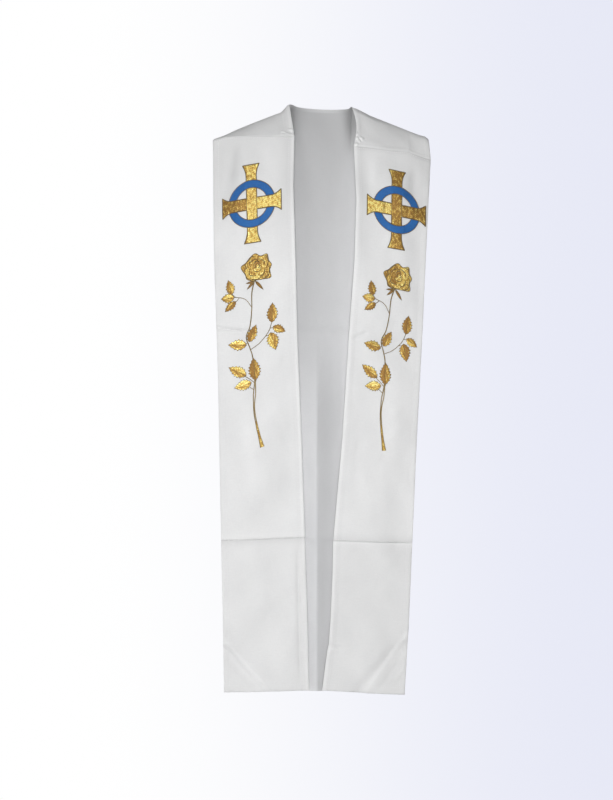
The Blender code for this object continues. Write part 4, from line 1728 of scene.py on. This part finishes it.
@dataclass(frozen=True)
class PetalLine:
    """The free edge of a petal, as an arc round the heart of the bloom."""

    across: float
    down: float
    angle: float
    spread: float
    radius: float
    wave: float
    # Painted light of the petal, added to the bloom's.
    tone: float

    def edge(self, share: Array) -> Array:
        """Radius at a share of the spread, -1 to 1, with an uneven lip."""
        return self.radius * (1.0 - 0.16 * share**2) + self.wave * np.sin(share * 5.0 + self.angle)

    def path(self) -> Array:
        """Follows the petal's edge.

        Returns:
            Its places across and down.
        """
        share = np.linspace(-1.0, 1.0, 21)
        turn, radius = np.radians(self.angle + self.spread * share), self.edge(share)
        return np.stack([self.across + radius * np.cos(turn), self.down - radius * np.sin(turn)], axis=1)

    def inside(self, flat: Array) -> Array:
        """How far inside the petal each place is.

        Args:
            flat: places across and down.

        Returns:
            0 outside, 1 well inside.
        """
        across, up = flat[:, 0] - self.across, self.down - flat[:, 1]
        turn = (np.degrees(np.arctan2(up, across)) - self.angle + 180.0) % 360.0 - 180.0
        share = np.clip(turn / self.spread, -1.0, 1.0)
        within = smooth((self.edge(share) - np.hypot(across, up)) / 1.4 + 0.5)
        return within * smooth((1.0 - np.abs(share)) * 5.0)


@dataclass
class RoseSpray(Applique):
    """A rose on its stem with twigs and leaves, worked in gold thread."""

    # Painted light of each leaf, by the way its stitches run to the light.
    leaf_lit_tones: Sequence[float] = ()
    # Painted light of the bloom over its face.
    bloom_lit_tone: Callable[[Array], Array] = level(0.5)
    sepal_tone: float = -0.15
    cell: float = 1.5
    bloom_rest: float = 0.7
    petal_step: float = 0.24
    bloom_puff: float = 0.35
    bloom_cord: Pair = (1.4, 1.1)
    leaf_cord: Pair = (0.95, 0.9)
    strand_cord: Pair = (1.9, 1.3)
    twig_cord: Pair = (1.35, 0.9)
    bloom: dict[str, Array] = field(
        default_factory=lambda: table(
            ("angle", "radius"),
            [
                (95, 30), (72, 25), (52, 33), (30, 27), (8, 29), (-14, 26), (-38, 34), (-62, 25),
                (-88, 22), (-112, 24), (-138, 27), (-160, 25), (168, 32), (146, 26), (120, 27),
            ],
        )
    )
    stem: Sequence[Pair] = (
        (-4, 18), (-11, 45), (-12, 78), (-16, 109), (-24, 131), (-17, 154),
        (-12, 174), (-9, 220), (-12, 270), (-7, 308), (2, 350),
    )
    stem_width: dict[str, Array] = field(
        default_factory=lambda: table(("down", "width"), [(18, 2.6), (60, 1.9), (150, 2.1), (224, 2.4)])
    )
    strands: dict[str, Array] = field(
        default_factory=lambda: table(
            ("down", "gap"),
            [(206, 0.4), (222, 1.4), (244, 4.6), (266, 1.8), (300, 2.4), (330, 3.6), (350, 7.0)],
        )
    )
    cut_end: float = 296.0
    twigs: Sequence[Sequence[Pair]] = (
        ((-12, 74), (-24, 57), (-42, 50), (-54, 50)),
        ((-43, 50), (-49, 44), (-53, 38)),
        ((-36, 52), (-42, 58), (-48, 62)),
        ((-17, 157), (2, 146), (20, 126), (28, 104)),
        ((23, 120), (32, 120), (38, 121)),
        ((14, 134), (24, 134), (28, 136)),
        ((-21, 137), (-17, 132), (-15, 130)),
        ((-21, 142), (-30, 145), (-36, 146)),
        ((-10, 222), (-20, 213), (-34, 203)),
        ((-11, 236), (-22, 228), (-32, 224)),
        ((-9, 224), (-6, 214), (-7, 206)),
    )
    leaves: Sequence[Leaf] = (
        Leaf((-50, 43), (-57, 14), 7.8),
        Leaf((-46, 50), (-72, 49), 8.8),
        Leaf((-43, 58), (-65, 75), 6.8),
        Leaf((27, 109), (29, 71), 9.8, 6),
        Leaf((29, 118), (53, 131), 7.4),
        Leaf((24, 129), (33, 164), 10.8, 6),
        Leaf((-19, 141), (-4, 109), 8.8),
        Leaf((-24, 146), (-60, 141), 9.8),
        Leaf((-26, 206), (-60, 185), 9.8, 6),
        Leaf((-16, 221), (-50, 227), 9.6, 6),
        Leaf((-8, 217), (-11, 173), 11.0, 7),
    )
    sepals: Sequence[Leaf] = (
        Leaf((-6, 24), (-23, 26), 1.9, 3, 0.0),
        Leaf((-6, 24), (-21, 38), 2.1, 3, 0.0),
        Leaf((-4, 23), (12, 43), 2.5, 3, 0.0),
    )
    petals: Sequence[PetalLine] = (
        PetalLine(-9.0, 4.0, 205, 70, 16.5, 1.2, 0.3),
        PetalLine(9.0, 5.0, -28, 72, 17.0, 1.4, -0.1),
        PetalLine(-2.0, 8.0, -95, 60, 14.0, 1.0, 0.35),
        PetalLine(-7.0, -8.0, 138, 62, 17.5, 1.4, -0.15),
        PetalLine(8.0, -9.0, 40, 60, 17.0, 1.3, 0.2),
        PetalLine(-4.0, 2.0, 222, 64, 12.5, 0.9, -0.35),
        PetalLine(5.0, 3.0, -48, 66, 12.0, 0.9, 0.3),
        PetalLine(-4.0, -7.0, 118, 66, 12.0, 0.9, 0.25),
        PetalLine(4.5, -7.0, 55, 64, 11.5, 0.8, -0.3),
        PetalLine(0.0, -3.0, -82, 78, 9.0, 0.7, 0.4),
        PetalLine(0.5, -6.0, 96, 74, 8.2, 0.6, -0.35),
        PetalLine(1.0, -5.0, 10, 88, 4.6, 0.4, 0.35),
        PetalLine(0.0, -5.5, 190, 80, 3.4, 0.3, -0.3),
    )

    def build_bloom(self) -> None:
        """The bloom with its petals and their edges."""
        turn = np.radians(self.bloom["angle"])
        corners = self.bloom["radius"][:, None] * np.stack([np.cos(turn), -np.sin(turn)], axis=1)
        outline = rounded(corners, 5, True)
        angles, radii = np.degrees(np.arctan2(-outline[:, 1], outline[:, 0])), np.hypot(*outline.T)

        def height(flat: Array) -> Array:
            """Each petal lies a little above the ones that it covers."""
            layers = self.petal_step * sum(petal.inside(flat) for petal in self.petals)
            return self.bloom_rest + layers + self.bloom_puff * smooth(edge_distance(flat, outline) / 4.0)

        def tone(flat: Array) -> Array:
            """Painted light: each petal is lit to its own brightness."""
            return self.bloom_lit_tone(flat) + sum(petal.tone * petal.inside(flat) for petal in self.petals)

        self.plate(outline, self.cell, height, tone, 0.4)
        self.cord(outline, *self.bloom_cord, level(0.75), -0.1, True)
        for petal in self.petals:
            path = petal.path()
            reach = np.interp(np.degrees(np.arctan2(-path[:, 1], path[:, 0])), angles, radii, period=360.0)
            path = path[np.hypot(path[:, 0], path[:, 1]) < reach - 1.2]
            if len(path) >= 4:
                widths = 0.5 + 1.3 * np.sin(np.linspace(0.0, math.pi, len(path)))
                self.cord(path, widths, 0.9, lambda flat: height(flat) + 0.05, -0.4)

    def build_leaf(self, leaf: Leaf, tone: float) -> None:
        """One leaf with its midrib and edge.

        Args:
            leaf: its shape.
            tone: painted light of its thread.
        """
        along, _, length = leaf.axes()
        outline = leaf.outline()

        def shade(flat: Array) -> Array:
            """Painted light: one half is lit brighter than the other, and the midrib groove gets painted
            shade.
            """
            share, away = leaf.local(flat)
            return tone + 0.32 * np.sign(away) - 0.15 * share - 0.45 * bump(away, 1.2)

        self.plate(outline, self.cell, leaf.height, shade, math.atan2(along[1], along[0]), leaf.spots)
        self.cord(outline, *self.leaf_cord, level(0.65), -0.25, True, 5)
        share = np.linspace(0.0, 0.96, 9)
        midrib = np.array(leaf.base) + along * length * share[:, None]
        self.cord(midrib, 1.0 - 0.6 * share, 0.6, lambda flat: leaf.height(flat) + 0.10, 0.15)

    def build_stem(self) -> None:
        """The single upper stem, the two lower strands and the cut end."""
        line = rounded(np.array(self.stem, float), 8, False)
        upper = line[line[:, 1] <= self.stem_width["down"][-1]]
        low = line[line[:, 1] >= self.strands["down"][0]]
        width = np.interp(upper[:, 1], self.stem_width["down"], self.stem_width["width"])
        self.cord(upper, width, 1.2, level(0.55), 0.05)
        gap = np.interp(low[:, 1], self.strands["down"], self.strands["gap"])
        run = unit(np.gradient(low, axis=0))
        aside = np.stack([-run[:, 1], run[:, 0]], axis=1) * gap[:, None] / 2.0
        for strand, tone in ((low + aside, 0.35), (low - aside, 0.55)):
            self.cord(strand, *self.strand_cord, level(0.55), tone)
        end = low[:, 1] >= self.cut_end
        outline = np.vstack([(low + aside)[end], (low - aside)[end][::-1]])
        self.plate(outline, 2.0, level(0.8), lambda flat: np.clip((flat[:, 1] - 300.0) / 60.0, 0.15, 0.6))

    def build(self, finishes: Finishes) -> bpy.types.Object:
        """The whole spray.

        Args:
            finishes: the materials.

        Returns:
            The spray, riding on the body.
        """
        self.parts = MeshCollector()
        self.build_stem()
        for twig in self.twigs:
            self.cord(rounded(np.array(twig, float), 6, False), *self.twig_cord, level(0.45), 0.0, False, 5)
        for leaf, tone in zip(self.leaves, self.leaf_lit_tones):
            self.build_leaf(leaf, tone)
        for sepal in self.sepals:
            self.build_leaf(sepal, self.sepal_tone)
        self.build_bloom()
        name = "rose_" + self.form.side.value
        return ride(self.parts.join(name + "_dressed", (finishes.gold, finishes.edge)), [name])


@dataclass
class Sewing:
    """Rows of white running stitches, laid on the outer face of the cloth."""

    name: str
    pitch: float = 4.0
    width: float = 0.6
    thick: float = 0.35
    rest: float = 1.0
    profile: Sequence[float] = (0.10, 1.0, 1.0, 0.10)
    parts: MeshCollector = field(default_factory=MeshCollector)

    def row(self, points: Array, outward: float) -> None:
        """Sews one row.

        Args:
            points: a line on the cloth's middle surface, in millimetres.
            outward: which way the outer face looks, 1 or -1.
        """
        reach = travelled(points)
        count = max(1, round(reach[-1] / self.pitch))
        steps = np.linspace(0.0, reach[-1], count * len(self.profile))
        line = np.stack([np.interp(steps, reach, points[:, k]) for k in range(3)], axis=1)
        run = np.gradient(line, axis=0)
        flat = np.array([0.0, outward, 0.0])
        above = unit(flat - run * ((run @ flat) / np.maximum((run * run).sum(axis=1), TINY))[:, None])
        widths = np.tile(self.profile, count) * self.width
        self.parts.tube(line + above * self.rest, above, widths, self.thick, 0, 0.5, False, 4)

    def build(self, finishes: Finishes) -> bpy.types.Object:
        """Joins the rows into one piece that rides on the body."""
        return ride(self.parts.join(self.name, (finishes.white,)))


@dataclass
class FrontSide:
    """One front: yoke, front and lower end, with its emblem and spray."""

    form: FrontForm
    emblem: Emblem
    spray: RoseSpray
    cell: float = 2.6
    yoke_cell: float = 1.2
    gap: float = 0.15
    below_seam: float = 3.0
    above_cross: float = 2.6
    above_hem: float = 13.0
    from_edge: float = 11.0

    def sew(self, finishes: Finishes) -> bpy.types.Object:
        """Stitches beside both seams, the side edges and the hem.

        Args:
            finishes: the materials.

        Returns:
            The stitches, riding on the body.
        """
        form = self.form
        sewing = Sewing("stitches_" + form.side.value)

        def row(x: Array, z: Array) -> None:
            """Sews one row at places on the front."""
            sewing.row(np.stack([x, form.front_y(x, z), z], axis=1), -1.0)

        share = np.linspace(0.03, 0.97, 80)
        hem = form.hem_z(share) + self.above_hem
        for z in (form.seam_z(share) - self.below_seam, form.cross_z(share) + self.above_cross, hem):
            row(form.edge_x(share, z), z)
        inward = self.from_edge if form.side is Side.RIGHT else -self.from_edge
        for u, away in ((0.0, inward), (1.0, -inward)):
            edge = np.full(420, u)
            z = np.linspace(form.seam_z(edge)[0] - 4.0, form.hem_z(edge)[0] + self.above_hem, len(edge))
            row(form.edge_x(edge, z) + away, z)
        return sewing.build(finishes)

    def build(self, finishes: Finishes) -> None:
        """Makes the three panels and what is sewn on them.

        Args:
            finishes: the materials.
        """
        motifs = [*self.emblem.build(finishes), self.spray.build(finishes), self.sew(finishes)]
        for zone in Zone:
            node = zone.value + "_" + self.form.side.value
            ClothPanel(
                name=node + "_dressed",
                node=node,
                cell=self.yoke_cell if zone is Zone.YOKE else self.cell,
                outward=-1.0,
                shape=partial(self.form.panel_points, zone),
                dim=partial(self.form.dim, zone),
                trim=(self.gap, 0.0 if zone is Zone.LOWER else self.gap),
            ).build(finishes, motifs if zone is Zone.FRONT else ())


@dataclass(frozen=True)
class SoftLight:
    """A soft square light, in metres, with its share of the full power."""

    name: str
    place: Triple
    aim: Triple
    size: float
    share: float

    def add(self, watts: float) -> None:
        """Hangs the light.

        Args:
            watts: the full power.
        """
        data = bpy.data.lights.new(self.name, "AREA")
        data.size = self.size
        data.energy = watts * self.share
        obj = bpy.data.objects.new(self.name, data)
        obj.location = self.place
        obj.rotation_euler = (Vector(self.aim) - Vector(self.place)).to_track_quat("-Z", "Y").to_euler()
        bpy.context.scene.collection.objects.link(obj)


@dataclass
class Studio:
    """Pale floor and backdrop, soft lights and the camera; the room is in millimetres, the rest in metres."""

    floor_z: float = -2700.0
    wall_top: float = 3600.0
    radius: float = 5600.0
    camera: Triple = (-0.0265, -3.6, -0.5846)
    sensor: float = 36.0
    lens: float = 36.0 * 3.555 / 1.568
    watts: float = 96.0
    world: float = 0.15
    lights: Sequence[SoftLight] = (
        SoftLight("key", (-0.0265, -4.4, -0.66), (0.0, 0.0, -0.75), 0.2, 1.155),
        SoftLight("fill", (-3.0, -3.2, -0.7), (0.0, 0.0, -0.6), 1.4, 0.30),
        SoftLight("top", (-0.9, -2.6, 2.4), (0.0, 0.0, -0.3), 1.2, 0.20),
        SoftLight("back", (2.8, 3.4, 0.2), (0.0, 0.0, -0.6), 1.4, 1.1),
        SoftLight("back_fill", (-1.2, 4.4, -0.6), (0.0, 0.0, -0.6), 2.4, 0.55),
    )

    def disc(self, name: str, rings: Sequence[Pair], material: bpy.types.Material) -> bpy.types.Object:
        """Makes a round sheet of the room.

        Args:
            name: its name.
            rings: pairs of radius and height in millimetres.
            material: its finish.

        Returns:
            The sheet, which diffuse rays do not see.
        """
        work, u, v = grid_patch(96, len(rings) - 1)
        at = np.linspace(0.0, 1.0, len(rings))
        radius, height = (np.interp(v, at, [ring[k] for ring in rings]) for k in (0, 1))
        turn = u * math.tau
        move_points(work, np.stack([radius * np.cos(turn), radius * np.sin(turn), height], axis=1))
        bmesh.ops.remove_doubles(work, verts=work.verts, dist=MM)
        obj = new_object(name, free_to_mesh(work, name), (material,))
        obj.visible_diffuse = False
        return obj

    def build_room(self) -> None:
        """Floor and backdrop."""
        floor = Paint(
            "studio_floor", Base_Color=(0.86, 0.86, 0.88), Roughness=0.8,
            Emission_Color=(0.97, 0.97, 1.0), Emission_Strength=0.5,
        )
        self.disc("studio_floor", [(1.0, self.floor_z), (self.radius, self.floor_z)], floor.material)
        wall = Paint(
            "studio_backdrop", Base_Color=(0.0, 0.0, 0.0), Specular_IOR_Level=0.0, Emission_Strength=1.0,
        )
        share = wall.part(wall.object_place(), 0).above(-1.2, 1.6)
        tint = wall.blend(share, (1.0, 1.0, 1.0), (0.80, 0.815, 0.92))
        wall.feed(wall.shader.inputs["Emission Color"], tint)
        rings = [(self.radius, self.floor_z), (self.radius, self.wall_top), (1.0, self.wall_top)]
        backdrop = self.disc("studio_backdrop", rings, wall.material)
        backdrop.visible_glossy = backdrop.visible_shadow = False

    def build_camera(self) -> None:
        """The camera at the photograph's viewing angle."""
        data = bpy.data.cameras.new("camera")
        data.sensor_fit = "AUTO"
        data.sensor_width = self.sensor
        data.lens = self.lens
        data.dof.use_dof = False
        obj = bpy.data.objects.new("camera", data)
        obj.location = self.camera
        obj.rotation_euler = (math.pi / 2.0, 0.0, 0.0)
        bpy.context.scene.collection.objects.link(obj)
        bpy.context.scene.camera = obj

    def build(self) -> None:
        """Room, lights and camera."""
        self.build_room()
        world = bpy.data.worlds.new("studio_world")
        world.use_nodes = True
        sky = world.node_tree.nodes["Background"].inputs
        sky["Color"].default_value = (0.97, 0.98, 1.0, 1.0)
        sky["Strength"].default_value = self.world
        bpy.context.scene.world = world
        for light in self.lights:
            light.add(self.watts)
        self.build_camera()
        bpy.context.scene.view_settings.view_transform = "Standard"


def right_bloom_lit_tone(flat: Array) -> Array:
    """Painted light: the right bloom is lit brightest low in its middle."""
    return 0.35 + 0.4 * bump(flat[:, 0] + 2.0, 14.0) * smooth((flat[:, 1] + 14.0) / 30.0)


def left_bloom_lit_tone(flat: Array) -> Array:
    """Painted light: the left bloom is lit brighter towards its outer side."""
    return 0.15 + 0.6 * smooth(flat[:, 0] / 16.0 + 0.5)


def main() -> None:
    """Builds every piece in order."""
    logging.basicConfig(level=logging.INFO, format="%(name)s %(message)s")
    finishes = Finishes()
    right, left = right_form(), left_form()
    back = BackForm(right=right, left=left)
    ClothPanel(
        name="back_panel_dressed",
        node="back_panel",
        cell=4.0,
        outward=1.0,
        shape=back.points,
        dim=back.dim,
        trim=(0.15, 0.0),
        inner=True,
    ).build(finishes)
    FrontSide(
        right,
        Emblem(
            right,
            (-133.5, -200.0, 0.023, 0.146),
            tones={"up": 0.75, "down": 0.9, "left": 0.1, "right": 0.95},
        ),
        RoseSpray(
            right,
            (-123.5, -327.0, 0.023, 0.146),
            leaf_lit_tones=(0.6, 0.95, 0.3, 0.15, 0.5, 0.65, 0.15, 0.85, 0.75, 1.0, 0.05),
            bloom_lit_tone=right_bloom_lit_tone,
        ),
    ).build(finishes)
    FrontSide(
        left,
        Emblem(
            left,
            (150.0, -212.0, -0.012, -0.176),
            tones={"up": 0.15, "down": 0.2, "left": 0.95, "right": 0.15},
        ),
        RoseSpray(
            left,
            (153.0, -346.0, -0.087, -0.176),
            scale=(0.92, 0.965),
            leaf_lit_tones=(0.25, 1.0, 0.3, 0.1, 0.8, 0.1, 0.3, 0.6, 0.5, 1.0, 0.1),
            bloom_lit_tone=left_bloom_lit_tone,
        ),
    ).build(finishes)
    Studio().build()


if __name__ == "__main__":
    main()
